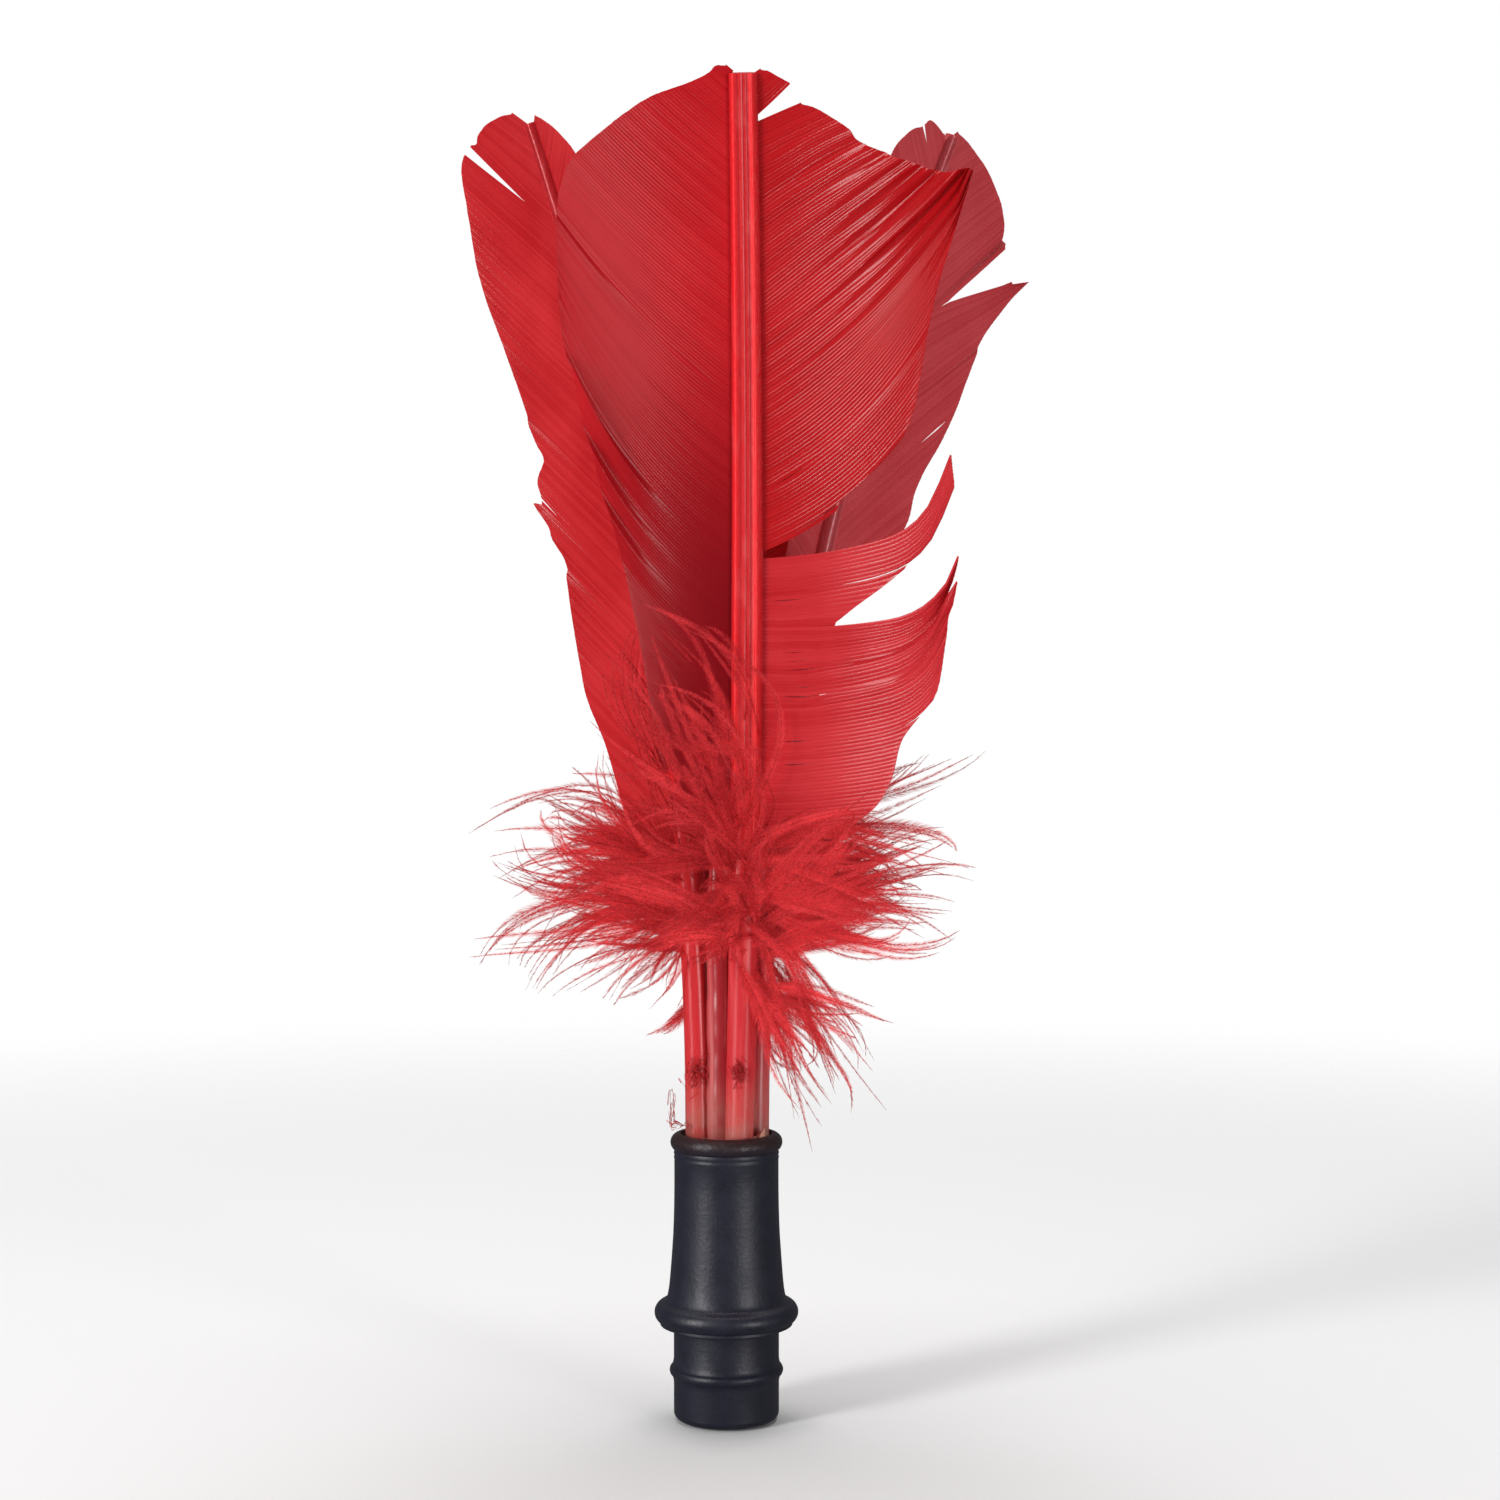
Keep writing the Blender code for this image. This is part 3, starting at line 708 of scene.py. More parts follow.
class Vane:
    """One side of a feather.  heading is the level direction in which it leaves the shaft and turn
    how fast it curls from there, at the plug's rim and at the shaft's top.  climb is a barb's angle
    at its root and bend how fast it steepens, by height; margin is the outline as (height, width).
    All heights are above the plug.  roots are the heights of the lowest and highest barb, and bare
    is a stretch without any.  lift holds (height, degrees) by which barbs stand off the even
    surface, and onset is the reach over which that sets in.  flick is the extra climb at a torn
    end, and the run over which it comes.  One more tuple sets the painted shade low on the vane
    near the shaft, and ridge is a barb's height."""

    def __init__(self, name, feather, heading, turn, roots, climb, bend, margin, slits=(),
                 lift=((0, 0), (1, 0)), seed=1, painted_shade=(0.0, 60.0, 10.0), bare=(0, 0),
                 flick=(0.0, 20.0, 40.0), onset=(4.0, 22.0), ridge=RIDGE):
        self.name, self.feather = name, feather
        self.heading, self.turn, self.roots = heading, turn, roots
        self.climb, self.bend, self.margin = climb, bend, margin
        self.slits, self.lift, self.seed, self.painted_shade = list(slits), lift, seed, painted_shade
        self.bare, self.flick, self.onset, self.ridge = bare, flick, onset, ridge

    def place(self, across, z):
        """Points at these distances across the vane and at these heights: level arcs."""
        feather = self.feather
        share = (z - feather.foot_z) / (feather.top_z - feather.foot_z)
        heading = np.radians(self.heading[0] + (self.heading[1] - self.heading[0]) * share)
        turn = np.radians(self.turn[0] + (self.turn[1] - self.turn[0]) * share)
        centre = feather.axis(z)
        dx = (np.sin(heading + turn * across) - np.sin(heading)) / turn
        dy = (np.cos(heading) - np.cos(heading + turn * across)) / turn
        return centre + np.stack([dx, dy, np.zeros_like(dx)], axis=-1)

    def outline(self):
        """The margin as (across, height above the plug), with each corner eased twice."""
        line = np.array([(width, height) for height, width in self.margin], float)
        for _ in range(2):
            ahead, behind = line[1:], line[:-1]
            pairs = np.stack([0.8 * behind + 0.2 * ahead, 0.2 * behind + 0.8 * ahead], axis=1)
            line = np.concatenate([line[:1], pairs.reshape(-1, 2)[1:-1], line[-1:]])
        return line

    def inside(self, across, above):
        """Whether points lie between the shaft and the margin, by counting crossings."""
        line = self.outline()
        loop = np.concatenate([[(-1.0, line[0, 1])], line, [(-1.0, line[-1, 1])]])
        odd = np.zeros(across.shape, bool)
        for (x0, z0), (x1, z1) in zip(loop, np.roll(loop, -1, axis=0)):
            if z0 != z1:
                at = x0 + (above - z0) * (x1 - x0) / (z1 - z0)
                odd ^= ((z0 > above) != (z1 > above)) & (across < at)
        return odd

    def painted_foot_shade(self, root, reach):
        """How much painted shade darkens the vane low down and near the shaft.  The vane's tuple for
        it gives the most of it, the height above the plug that it fades out at, and how far from the
        shaft it spreads."""
        most, height, spread = self.painted_shade
        return most * smooth_step(height - root, 0.0, 60.0) * np.exp(-((reach / spread) ** 2))

    def barbs(self):
        """The barbs' root heights, across and height at each station of each barb, and the random
        numbers to go on with.  Barbs are traced outwards together, pushed apart at the slits, kept
        in order, cut off at the margin and divided into stations."""
        rng = np.random.default_rng(self.seed)
        roots = np.arange(self.roots[0], self.roots[1], BARB_PITCH)
        roots = roots[(roots < self.bare[0]) | (roots > self.bare[1])]
        count = len(roots)
        climb = np.interp(roots, *zip(*self.climb)) + rng.normal(0, CLIMB_SCATTER, count)
        bend = np.interp(roots, *zip(*self.bend))
        foot_z = self.feather.foot_z
        first = VANE_SEAT * self.feather.radius(foot_z + roots)
        steps = np.arange(0, WIDEST_VANE, TRACE_STEP)
        run, height = np.zeros(count), foot_z + roots
        heights = []
        for _ in steps:
            heights.append(height)
            flicked = self.flick[0] * smooth_step(run, *self.flick[1:])
            angle = np.radians(np.minimum(climb + bend * run + flicked, STEEPEST_BARB))
            height = height + np.tan(angle) * TRACE_STEP
            run = run + TRACE_STEP / np.cos(angle)
        across = first[:, None] + steps
        height = self.opened(roots, across, np.stack(heights, axis=1))
        packed = CLOSEST_BARBS * np.arange(count)[:, None]
        height = np.maximum.accumulate(height - packed, axis=0) + packed
        cut = ~self.inside(across, height - foot_z)
        cut[:, 0] = False
        last = np.where(cut.any(axis=1), cut.argmax(axis=1), len(steps) - 1)
        kept = last > STUB_STEPS
        roots, across, height, last = roots[kept], across[kept], height[kept], last[kept]
        pick = np.arange(len(roots))
        part = np.zeros(len(roots))
        for share in np.linspace(0, 0.9, 10):
            x = across[pick, last - 1] + share * TRACE_STEP
            z = height[pick, last - 1] * (1 - share) + height[pick, last] * share
            part = np.where(self.inside(x, z - foot_z), share, part)
        reach = last - 1 + part + rng.normal(0, CUT_SCATTER, len(roots))
        stations = np.linspace(0, 1, BARB_STATIONS) * reach[:, None]
        low = np.clip(stations.astype(int), 0, len(steps) - 2)
        share = stations - low
        pick = pick[:, None]
        across = across[pick, low] * (1 - share) + across[pick, low + 1] * share
        height = height[pick, low] * (1 - share) + height[pick, low + 1] * share
        return roots, across, height, rng

    def opened(self, roots, across, height):
        """Heights after the slits have pushed the barbs apart."""
        shift = np.zeros_like(height)
        for slit in self.slits:
            way = np.where(roots[:, None] > slit.root, 1 - slit.sag, -slit.sag)
            fade = np.exp(-np.abs(roots[:, None] - slit.root) / slit.spread)
            if slit.far is None:
                grow = np.clip((across - slit.near) / (slit.margin - slit.near), 0, 1.5) ** 1.3
            else:
                along = np.clip((across - slit.near) / (slit.far - slit.near), 0, 1)
                grow = np.sin(math.pi * along) ** 0.8
            shift += way * (slit.width + SLIT_OPENING * (grow > 0)) * grow * fade
        return height + shift


def vane_mesh(vane):
    """All the barbs of a vane as closed ridged strips."""
    roots, across, height, rng = vane.barbs()
    count = len(roots)
    points = vane.place(across, height)
    step = 0.05  # for the surface's slopes
    level = vane.place(across + step, height) - vane.place(across - step, height)
    upward = vane.place(across, height + step) - vane.place(across, height - step)
    normal = unit(np.cross(level, upward))
    facing = np.array([math.cos(vane.feather.facing), math.sin(vane.feather.facing), 0.0])
    side = np.sign((normal[:, :3] @ facing).mean())
    normal *= side
    reach = across - across[:, :1]
    lifted = np.radians(np.interp(roots, *zip(*vane.lift)))
    lifted = lifted + np.radians(BARB_DRIFT) * np.cumsum(rng.normal(0, 0.12, count))
    lifted -= np.linspace(lifted[0], lifted[-1], count) * 0.5
    proud = reach * np.tan(lifted)[:, None] * smooth_step(reach, *vane.onset)
    points = points + normal * proud[..., None]
    along = unit(np.gradient(points, axis=1))
    over = unit(np.cross(normal, along)) * side
    halves = 0.5 * (points[1:] - points[:-1])
    square = np.abs(np.einsum("ijk,ijk->ij", halves, over[:-1]))
    halves *= np.minimum(1.0, HOOK_REACH / np.maximum(square, 1e-6))[..., None]
    halves *= np.minimum(1.0, LONGEST_REACH / np.linalg.norm(halves, axis=2))[..., None]
    upper = np.concatenate([points[:-1] + halves, points[-1:] + EDGE_BARB * over[-1:]])
    lower = np.concatenate([points[:1] - EDGE_BARB * over[:1], points[1:] - halves])
    ridge = vane.ridge * (1 - RIDGE_TAPER * np.linspace(0, 1, BARB_STATIONS) ** 2)
    ridge = ridge * rng.uniform(0.8, 1.2, count)[:, None]
    ridge = ridge * (1 - FLAT_UNDER_PAINTED_SHADE * vane.painted_foot_shade(roots[:, None], reach))
    crest = points + RIDGE_PLACE * (upper - points) + normal * ridge[..., None]
    corners = np.stack([lower, crest, upper, points - normal * KEEL], axis=2)
    stride = 4 * BARB_STATIONS
    block = []
    for k in range(BARB_STATIONS - 1):
        for c in range(4):
            d = (c + 1) % 4
            block.append((4 * k + c, 4 * k + 4 + c, 4 * k + 4 + d, 4 * k + d))
    block.append((0, 1, 2, 3))
    end = stride - 4
    block.append((end + 3, end + 2, end + 1, end))
    block = np.array(block)
    if side < 0:
        block = block[:, ::-1]
    faces = (block[None] + stride * np.arange(count)[:, None, None]).reshape(-1, 4)
    tone = np.repeat(rng.uniform(0, 1, count), stride)
    # Painted shade: darker beside the shaft and low on the vane near it.
    painted_shade = SHAFT_PAINTED_SHADE * np.exp(-reach / SHAFT_PAINTED_SHADE_WIDTH) + vane.painted_foot_shade(roots[:, None], reach)
    painted_shade = np.repeat(np.clip(painted_shade, 0, 1).ravel(), 4)
    return closed_mesh(
        vane.name + "_barbs", corners.reshape(-1, 3), faces, {"barb_tone": tone, "painted_shade_share": painted_shade}
    )


BARB_CONTRAST = 0.30


def dyed_barbs(name, dark, usual, light, gloss=0.20):
    """Feather barbs, dyed: each takes the dye a little differently, in clouds 18 mm wide, and they
    darken towards dark as painted shade beside the shaft and low on the vane.  They are satin, with
    a sheen that gloss sets and a grain of barbules, which stand 0.02 mm apart and are drawn at
    0.24 mm to show."""
    made, tree = new_finish(name)
    place = add(tree, "TexCoord").outputs["Object"]
    tone = add(tree, "Attribute", attribute_name="barb_tone").outputs["Fac"]
    painted_shade = add(tree, "Attribute", attribute_name="painted_shade_share").outputs["Fac"]
    cloud = add(tree, "TexNoise", {"Vector": place, "Scale": spaced(18.18), "Detail": 3.0})
    grain = add(tree, "TexNoise", {"Vector": place, "Scale": spaced(0.2381), "Detail": 2.0})
    spread = add(tree, "Math", {0: tone, 1: BARB_CONTRAST}, operation="MULTIPLY")
    mixed = add(tree, "Math", {0: cloud.outputs["Fac"], 1: spread.outputs[0]}, operation="ADD")
    level = add(
        tree, "MapRange", {"Value": mixed.outputs[0], "From Min": 0.38, "From Max": 0.90}
    )
    dye = add(
        tree, "MixRGB",
        {"Fac": level.outputs[0], "Color1": linear(usual), "Color2": linear(light)},
    )
    # Painted shade: the barbs darken towards dark beside the shaft and low on the vane.
    colour = add(
        tree, "MixRGB", {"Fac": painted_shade, "Color1": dye.outputs[0], "Color2": linear(dark)}
    )
    rough = add(
        tree, "MapRange",
        {"Value": grain.outputs["Fac"], "From Min": 0.3, "From Max": 0.7, "To Min": 0.18,
         "To Max": 0.27},
    )
    nap = add(
        tree, "Bump", {"Height": grain.outputs["Fac"], "Strength": 0.25, "Distance": 0.03 * MM}
    )
    finish_with(
        tree, Base_Color=colour.outputs[0], Roughness=rough.outputs[0], IOR=1.5,
        Specular_IOR_Level=gloss, Normal=nap.outputs[0],
    )
    return made


# The first colour of each finish is the painted shade beside the shaft and low on the vane.
barb_red = dyed_barbs("red_dyed_barbs", "#760A15", "#AB0C13", "#BE161C", 0.26)
barb_deep = dyed_barbs("deep_red_dyed_barbs", "#7E0A15", "#B7121A", "#CC2028", 0.12)
barb_rosy = dyed_barbs("rosy_red_dyed_barbs", "#760A15", "#BA1E25", "#CE343A")
barb_bright = dyed_barbs("bright_red_dyed_barbs", "#860D14", "#B91A20", "#D02E33")
# The right feather's barbs are paler and pinker: partly their own colour, partly painted sheen.
barb_pink_and_sheen = dyed_barbs("pink_red_barbs_and_painted_sheen", "#7C161C", "#BC383E", "#CE4C52")

# The front feather's right vane is split into four locks, and the lower two have torn ends.
VANES = [
    (barb_deep, Vane(
        "front_feather_left_vane", FRONT,
        heading=(188, 186), turn=(0.6, 0.6), roots=(48, 167),
        climb=((48, 33), (165, 36)), bend=((48, 0.9), (100, 0.7), (130, 0.25), (165, 0.1)),
        margin=[(47, 7), (49, 9), (59, 13.5), (72, 16), (81.6, 17.7), (93, 20.2), (103, 23.4),
                (115, 26.6), (127, 29.7), (138.7, 30.2), (146.6, 29.7), (152.5, 27.7),
                (155.6, 24.1), (159.4, 19.2), (162.6, 14.4), (164.8, 8.1), (166.3, 5.0),
                (167.2, 4.4), (167.5, 3.4), (167.0, 2)],
        slits=[Slit(118.4, 5, 14, 0.3), Slit(151, 8, 18, 0.12), Slit(104, 8, 15, 0.2),
               Slit(110, 12, 17, 0.2), Slit(70, 9, 16, 0.3)],
        lift=((48, 0), (76, 0), (80, 3.0), (80.7, 0), (82, 0), (85.4, 2.8), (86.1, 0), (88, 0),
              (92, 4.0), (92.7, 0), (118, 0.5), (118.7, -0.2), (140, 0.5), (151, 0.7), (151.7, 0.1),
              (167, 0)),
        # Strong painted shade low on this vane, near the shaft.
        seed=11, painted_shade=(0.95, 140.0, 20.0), onset=(9.0, 24.0), ridge=0.05,
    )),
    (barb_red, Vane(
        "front_feather_right_vane_upper", FRONT,
        heading=(-8, -6), turn=(-0.6, -0.8), roots=(95.2, 159.8),
        climb=((95, 20), (110, 28), (134, 36), (150, 32), (160, 19)),
        bend=((95, 1.0), (110, 0.75), (120, 0.35), (130, 0.0), (140, -0.4), (151, -0.8),
              (160, -0.2)),
        margin=[(95.2, 2.7), (100, 12.6), (107.5, 21.4), (112.1, 25.6), (115.9, 27.2),
                (121, 28.3), (132.7, 30.4), (143.7, 34.5), (149.6, 36.6), (150.4, 36.2),
                (149.9, 31.8), (153.6, 22.9), (156.0, 17.4), (157.6, 16.8), (161.9, 9.8),
                (161.2, 5.0), (159.8, 2.4)],
        slits=[Slit(104, 3, 11, 0.35), Slit(153, 3, 9, 0.2), Slit(147.7, 8, 17, 0.25),
               Slit(142, 10, 20, 0.2), Slit(134.6, 13, 30, 0.35), Slit(125, 16, 28, 0.25)],
        lift=((95, 0), (104, 0.6), (104.6, 0), (116, -0.4), (118.9, -1.0), (119.6, 1.2),
              (122.4, -0.6), (123.1, 0.8), (125.6, -1.4), (126.3, 1.6), (128.8, 0), (129.4, 1.0),
              (130.9, -1.4), (131.6, 1.5), (134.6, -1.2), (135.3, 1.4), (137.0, 0), (137.6, 1.0),
              (138.8, -0.8), (139.5, 1.5), (142, 1.6), (142.7, -0.8), (144.4, 0.8), (145.0, 0),
              (146, 1.2), (146.7, -0.6), (150, 1.2), (150.7, -0.6), (153, 1.0), (153.6, -0.4),
              (160, 0.8)),
        seed=12, ridge=0.085,
    )),
    (barb_red, Vane(
        "front_feather_right_vane_top_lock", FRONT,
        heading=(-6, -4), turn=(-0.8, -0.8), roots=(160.4, 166.6),
        climb=((160, 38), (167, 28)), bend=((160, 0.6), (167, -0.6)),
        margin=[(160.2, 2.2), (163.2, 10.4), (165.6, 5.6), (166.7, 3.8), (166.7, 2)],
        seed=13,
    )),
    (barb_rosy, Vane(
        "front_feather_right_vane_middle_lock", FRONT,
        heading=(-8, -6), turn=(-0.6, -0.8), roots=(83.2, 94),
        climb=((83.2, 0), (88, 2), (94, 1)), bend=((83.2, 0.35), (94, 0.62)), flick=(50, 19, 36),
        margin=[(82.6, 2.0), (82.9, 13.6), (85.7, 17.0), (89.6, 23.0), (94, 28.8), (97.2, 32.0),
                (100.4, 34.0), (104.0, 34.6), (107.0, 34.0), (111.0, 33.3), (107.0, 31.6),
                (103.4, 28.3), (100.4, 23.0), (98, 15.3), (94.8, 2.2)],
        slits=[Slit(91.4, 3, 12, 0.15), Slit(87.0, 3, 10, 0.25)],
        lift=((83, 0), (88, 1.0), (94, 0)), seed=14, ridge=0.15,
    )),
    (barb_rosy, Vane(
        "front_feather_right_vane_lower", FRONT,
        heading=(-8, -6), turn=(-0.6, -0.8), roots=(47, 83),
        climb=((47, 2), (60, -1), (83, -3)), bend=((47, 0.2), (60, 0.6), (75, 0.8), (83, 0.5)),
        flick=(42, 20, 36),
        margin=[(47, 2), (49.4, 9), (50.0, 16.2), (54.4, 22.2), (59.2, 24.7), (65, 25.9),
                (68.1, 28.4), (71.9, 32.1), (79.7, 33.2), (83.6, 33.8), (86.9, 34.6),
                (90.4, 35.4), (87.8, 33.6), (86.6, 32.8), (88.6, 33.8), (91.4, 34.8), (95.8, 35.8),
                (93.0, 33.5), (89.6, 31.1), (86.6, 25.8), (85.3, 20.3), (84.2, 13.6), (83.8, 2)],
        slits=[Slit(79.2, 5, 11, 0.3), Slit(77.6, 4, 13, 0.25), Slit(76.3, 5, 14, 0.4),
               Slit(73.3, 7, 13, 0.3), Slit(71.8, 4.5, 14.5, 0.36), Slit(64.9, 5, 12, 0.35),
               Slit(61.1, 5, 12, 0.35)],
        lift=((47, 0), (60, 1.5), (70, 0.6), (71.8, 1.8), (72.4, 0.6), (76.3, 1.4), (76.9, 0.2),
              (83, 0.6)),
        seed=15, ridge=0.14,
    )),
    (barb_bright, Vane(
        "left_feather_front_vane", LEFT,
        heading=(-25, -63), turn=(1.2, 0.3), roots=(62, 167.2),
        climb=((62, 38), (163, 38)), bend=((62, 0.3), (163, 0.2)),
        margin=[(60, 2), (64, 4.4), (84, 7), (114, 10), (140, 12.8), (152, 13), (160, 11),
                (164.0, 7.5), (166.2, 4.4), (167.4, 2)],
        seed=21,
    )),
    (barb_bright, Vane(
        "left_feather_back_vane", LEFT,
        heading=(115, 115), turn=(1.2, 0.9), roots=(42, 166.5),
        climb=((42, 16), (50, 27), (60, 31), (100, 34), (146, 38), (152, 38), (166, 34)),
        bend=((48, 0.5), (150, 0.3), (166, 0.0)),
        margin=[(41, 2), (44, 14), (50, 17.5), (60.6, 20), (65, 21), (72, 23.9), (78.9, 24.2),
                (89.3, 24), (96.4, 23.5), (99.8, 26), (102.4, 25.8), (106.9, 29.0),
                (105.8, 26.2), (110.3, 26.9), (113.8, 23.2), (116, 24.6), (120.6, 25.5),
                (131, 26.8), (141.6, 28.3), (148.9, 28.1), (158.7, 26.3), (162.0, 25.8),
                (164.2, 24.9), (165.4, 23.9), (166.6, 22.2), (167.3, 20.8), (167.0, 19.4),
                (168.3, 18.6), (169.7, 15.0), (170.0, 10), (169.5, 6.4), (169.0, 2)],
        slits=[Slit(147.6, 6.6, None, 4.8, 6.0, 25.0), Slit(160, 15, None, 0.9, 2.0, 22.0),
               Slit(101, 22, None, 0.5, 1.6, 27), Slit(76, 12, 22, 0.3),
               Slit(86, 19, None, 0.5, 1.5, 24), Slit(66, 10, 20, 0.3)],
        lift=((48, 0), (66, 1), (76, 1.4), (76.7, 0), (84, 1), (84.7, 0), (100, 1.2), (100.7, 0),
              (120, 0.6), (149, 0.3), (149.7, -0.3), (160, 0.3), (160.7, -0.3), (166, 0)),
        seed=22,
    )),
    (barb_pink_and_sheen, Vane(
        "right_feather_front_vane", RIGHT,
        heading=(-150, -122), turn=(-1.2, -0.3), roots=(62, 167.6),
        climb=((62, 38), (163, 38)), bend=((62, 0.3), (163, 0.1)),
        margin=[(60, 2), (64, 4.4), (84, 7), (114, 10), (144, 14), (158, 14.6), (162, 14.6),
                (165.2, 12), (166.0, 9.4), (167.6, 8.4), (167.0, 5), (166.0, 2)],
        slits=[Slit(159.5, 4, None, 1.3, 3.0, 11.0)],
        seed=31,
    )),
    (barb_pink_and_sheen, Vane(
        "right_feather_back_vane", RIGHT,
        heading=(65, 65), turn=(-1.2, -0.9), roots=(44, 167), bare=(65, 88.6),
        climb=((44, 20), (52, 30), (66, 31), (88, 25), (96, 33), (165, 36)),
        bend=((44, 0.5), (84, 0.4), (130, 0.35), (165, 0.1)),
        margin=[(42, 2), (46, 13), (50, 15), (64, 20), (84, 24), (84.2, 2), (87.0, 2), (88.6, 5),
                (91.6, 10), (95.6, 16), (99, 21.5), (103.7, 23.4), (108, 22.9), (112.4, 24.0),
                (116.8, 26.1), (123.0, 27.6), (128.5, 27.9), (136.4, 28.7),
                (143.2, 32.2), (145.6, 33.9), (146.6, 36.0), (148.0, 39.6), (146.9, 35.0),
                (146.0, 31.0), (145.2, 27.0), (144.2, 23.0), (143.3, 20.4), (144.8, 21.4),
                (148.0, 24.6), (151.2, 26.6), (154.4, 26.4), (156.7, 25.0), (159.7, 22.1),
                (164.4, 15), (167.0, 7), (167.5, 2)],
        slits=[Slit(129.4, 14.0, None, 8.0, 10.0, 27.0, 0.85), Slit(101.2, 21.6, 27.0, 0.9, 2.0),
               Slit(112, 10, 20, 0.3), Slit(80, 10, 22, 0.4), Slit(68, 8, 16, 0.3)],
        lift=((48, 0), (68, 2), (80, 2.5), (80.6, 0), (112, 1), (112.6, 0), (130.2, 1.5),
              (130.8, -1.2), (150, 0.5), (165, 0)),
        seed=32,
    )),
    (barb_red, Vane(
        "back_feather_left_vane", BACK,
        heading=(172, 174), turn=(-0.6, -0.6), roots=(50, 164),
        climb=((50, 34), (164, 36)), bend=((50, 0.6), (164, 0.1)),
        margin=[(49, 8), (51, 9), (64, 15), (84, 20), (109, 25), (134, 26), (146, 24.5), (153, 20),
                (159, 13.5), (163, 7.5), (165.5, 2.5)],
        slits=[Slit(74, 6, 16, 0.3), Slit(95, 9, None, 0.9, 4.0, 22), Slit(124, 8, 20, 0.3)],
        lift=((50, 0), (74, 2), (74.6, 0), (95, 1.5), (95.6, -1), (124, 1), (124.6, 0), (164, 0)),
        seed=41,
    )),
    (barb_red, Vane(
        "back_feather_right_vane", BACK,
        heading=(8, 6), turn=(0.6, 0.6), roots=(50, 164),
        climb=((50, 34), (164, 36)), bend=((50, 0.6), (164, 0.1)),
        margin=[(49, 8), (51, 9), (64, 15), (84, 20), (109, 25), (134, 27), (145, 26), (152, 21),
                (158, 14), (163, 7.5), (165.5, 2.5)],
        slits=[Slit(86, 6, 18, 0.3), Slit(112, 10, None, 1.1, 4.0, 24), Slit(140, 9, 22, 0.3)],
        lift=((50, 0), (86, 2), (86.6, 0), (112, 1.5), (112.6, -1), (140, 1), (140.6, 0), (164, 0)),
        seed=42,
    )),
]
# The top lock stands for no node of its own: the CAD has it in the upper part of that vane.
STANDS_FOR = {"front_feather_right_vane_top_lock": []}
for finish, vane in VANES:
    nodes = STANDS_FOR.get(vane.name, [vane.name])
    piece = shown(vane.name + "_barbs", vane_mesh(vane), [finish], nodes)
    piece.data.set_sharp_from_angle(angle=math.radians(65))

# ---------------------------------------------------------------- down
# The loose barbs at the foot of each feather.  Each is a fine thread with barbules along both
# sides that hook onto nothing, so they stand out as fuzz and gather in pointed tufts.  Real
# threads are 0.05 mm thick or less; these and their barbules are thicker and fewer, to show.

THREAD_STATIONS = 12
THREAD_RADIUS = 0.075
BARBULE_PITCH = 1.0
BARBULE_RADIUS = 0.05
BARBULE_LENGTHS = (1.2, 2.6)
FILM_REACH = 1.3
FILM_CUP = 0.3
THREADS_PER_LOCK = 8
ROOT_SCATTER, TIP_SCATTER = 1.9, 2.0
THREAD_TAPER = 0.7


class Spray:
    """Locks of down that leave a shaft at heights within roots and end along the line of tips,
    given as (distance from the tuft's axis, height), at depths within depth.  All heights are
    above the plug.  arch is how far a lock bows upward, and curl how far its middle strays, both
    as shares of its length; width is how far its threads part."""

    def __init__(self, count, roots, tips, depth, arch=0.12, width=0.8, threads=THREADS_PER_LOCK,
                 curl=0.32):
        self.count, self.roots, self.tips, self.depth = count, roots, tips, depth
        self.arch, self.width, self.threads, self.curl = arch, width, threads, curl


def unit_pair(way):
    """Two directions square to each way."""
    helper = np.where(np.abs(way[..., 2:3]) < 0.9, [0.0, 0.0, 1.0], [1.0, 0.0, 0.0])
    first = unit(np.cross(way, helper))
    return first, np.cross(way, first)


def thread_paths(feather, spray, rng):
    """Paths of all the threads of a spray, as (thread, station, xyz).  Each lock follows a bowed
    and curled line from root to tip, and its threads start and end at different points along it,
    part sideways and waver."""
    n, k = spray.count, spray.threads
    height = feather.foot_z + rng.uniform(*spray.roots, n)
    root = feather.axis(height)
    tips = np.array(spray.tips, float)
    at = rng.uniform(0, len(tips) - 1, n)
    steps = np.arange(len(tips))
    x, z = np.interp(at, steps, tips[:, 0]), np.interp(at, steps, tips[:, 1])
    tip = np.stack([x, rng.uniform(*spray.depth, n), z + feather.foot_z], axis=-1)
    tip += rng.normal(0, TIP_SCATTER, (n, 3))
    root[:, :2] += rng.normal(0, ROOT_SCATTER, (n, 2))
    chord = tip - root
    long = np.linalg.norm(chord, axis=1, keepdims=True)
    chord *= rng.uniform(0.75, 1.14, (n, 1))
    tip = root + chord
    elbow = root + 0.5 * chord + long * (rng.normal(0, 0.14, (n, 3)) + [0, 0, spray.arch])
    start = rng.uniform(0.0, 0.16, (n, k, 1, 1))
    end = rng.uniform(0.62, 1.0, (n, k, 1, 1))
    end[:, 0] = 1.0
    t = start + (end - start) * np.linspace(0, 1, THREAD_STATIONS)[:, None]
    a, b, c = root[:, None, None], elbow[:, None, None], tip[:, None, None]
    path = (1 - t) ** 2 * a + 2 * t * (1 - t) * b + t**2 * c
    first, second = unit_pair(unit(chord))
    belly = 0.45 * np.sin(math.pi * np.clip(t, 0, 1) ** 0.75) + 0.15 + 1.1 * t
    side = rng.normal(0, spray.width, (n, k, 1, 1)) * first[:, None, None]
    side = side + rng.normal(0, 0.55 * spray.width, (n, k, 1, 1)) * second[:, None, None]
    path = path + side * belly
    curl = rng.normal(0, spray.curl, (n, 1, 1, 3)) * long[:, None, None] * t**2 * (1 - t)
    path = path + curl
    phase = rng.uniform(0, 6, (n, k, 1, 1))
    wave = 0.009 * long[:, None, None] * np.sin(t * rng.uniform(7, 15, (n, k, 1, 1)) + phase) * t
    path = path + wave * first[:, None, None] + 0.7 * wave * second[:, None, None]
    return path.reshape(n * k, THREAD_STATIONS, 3)


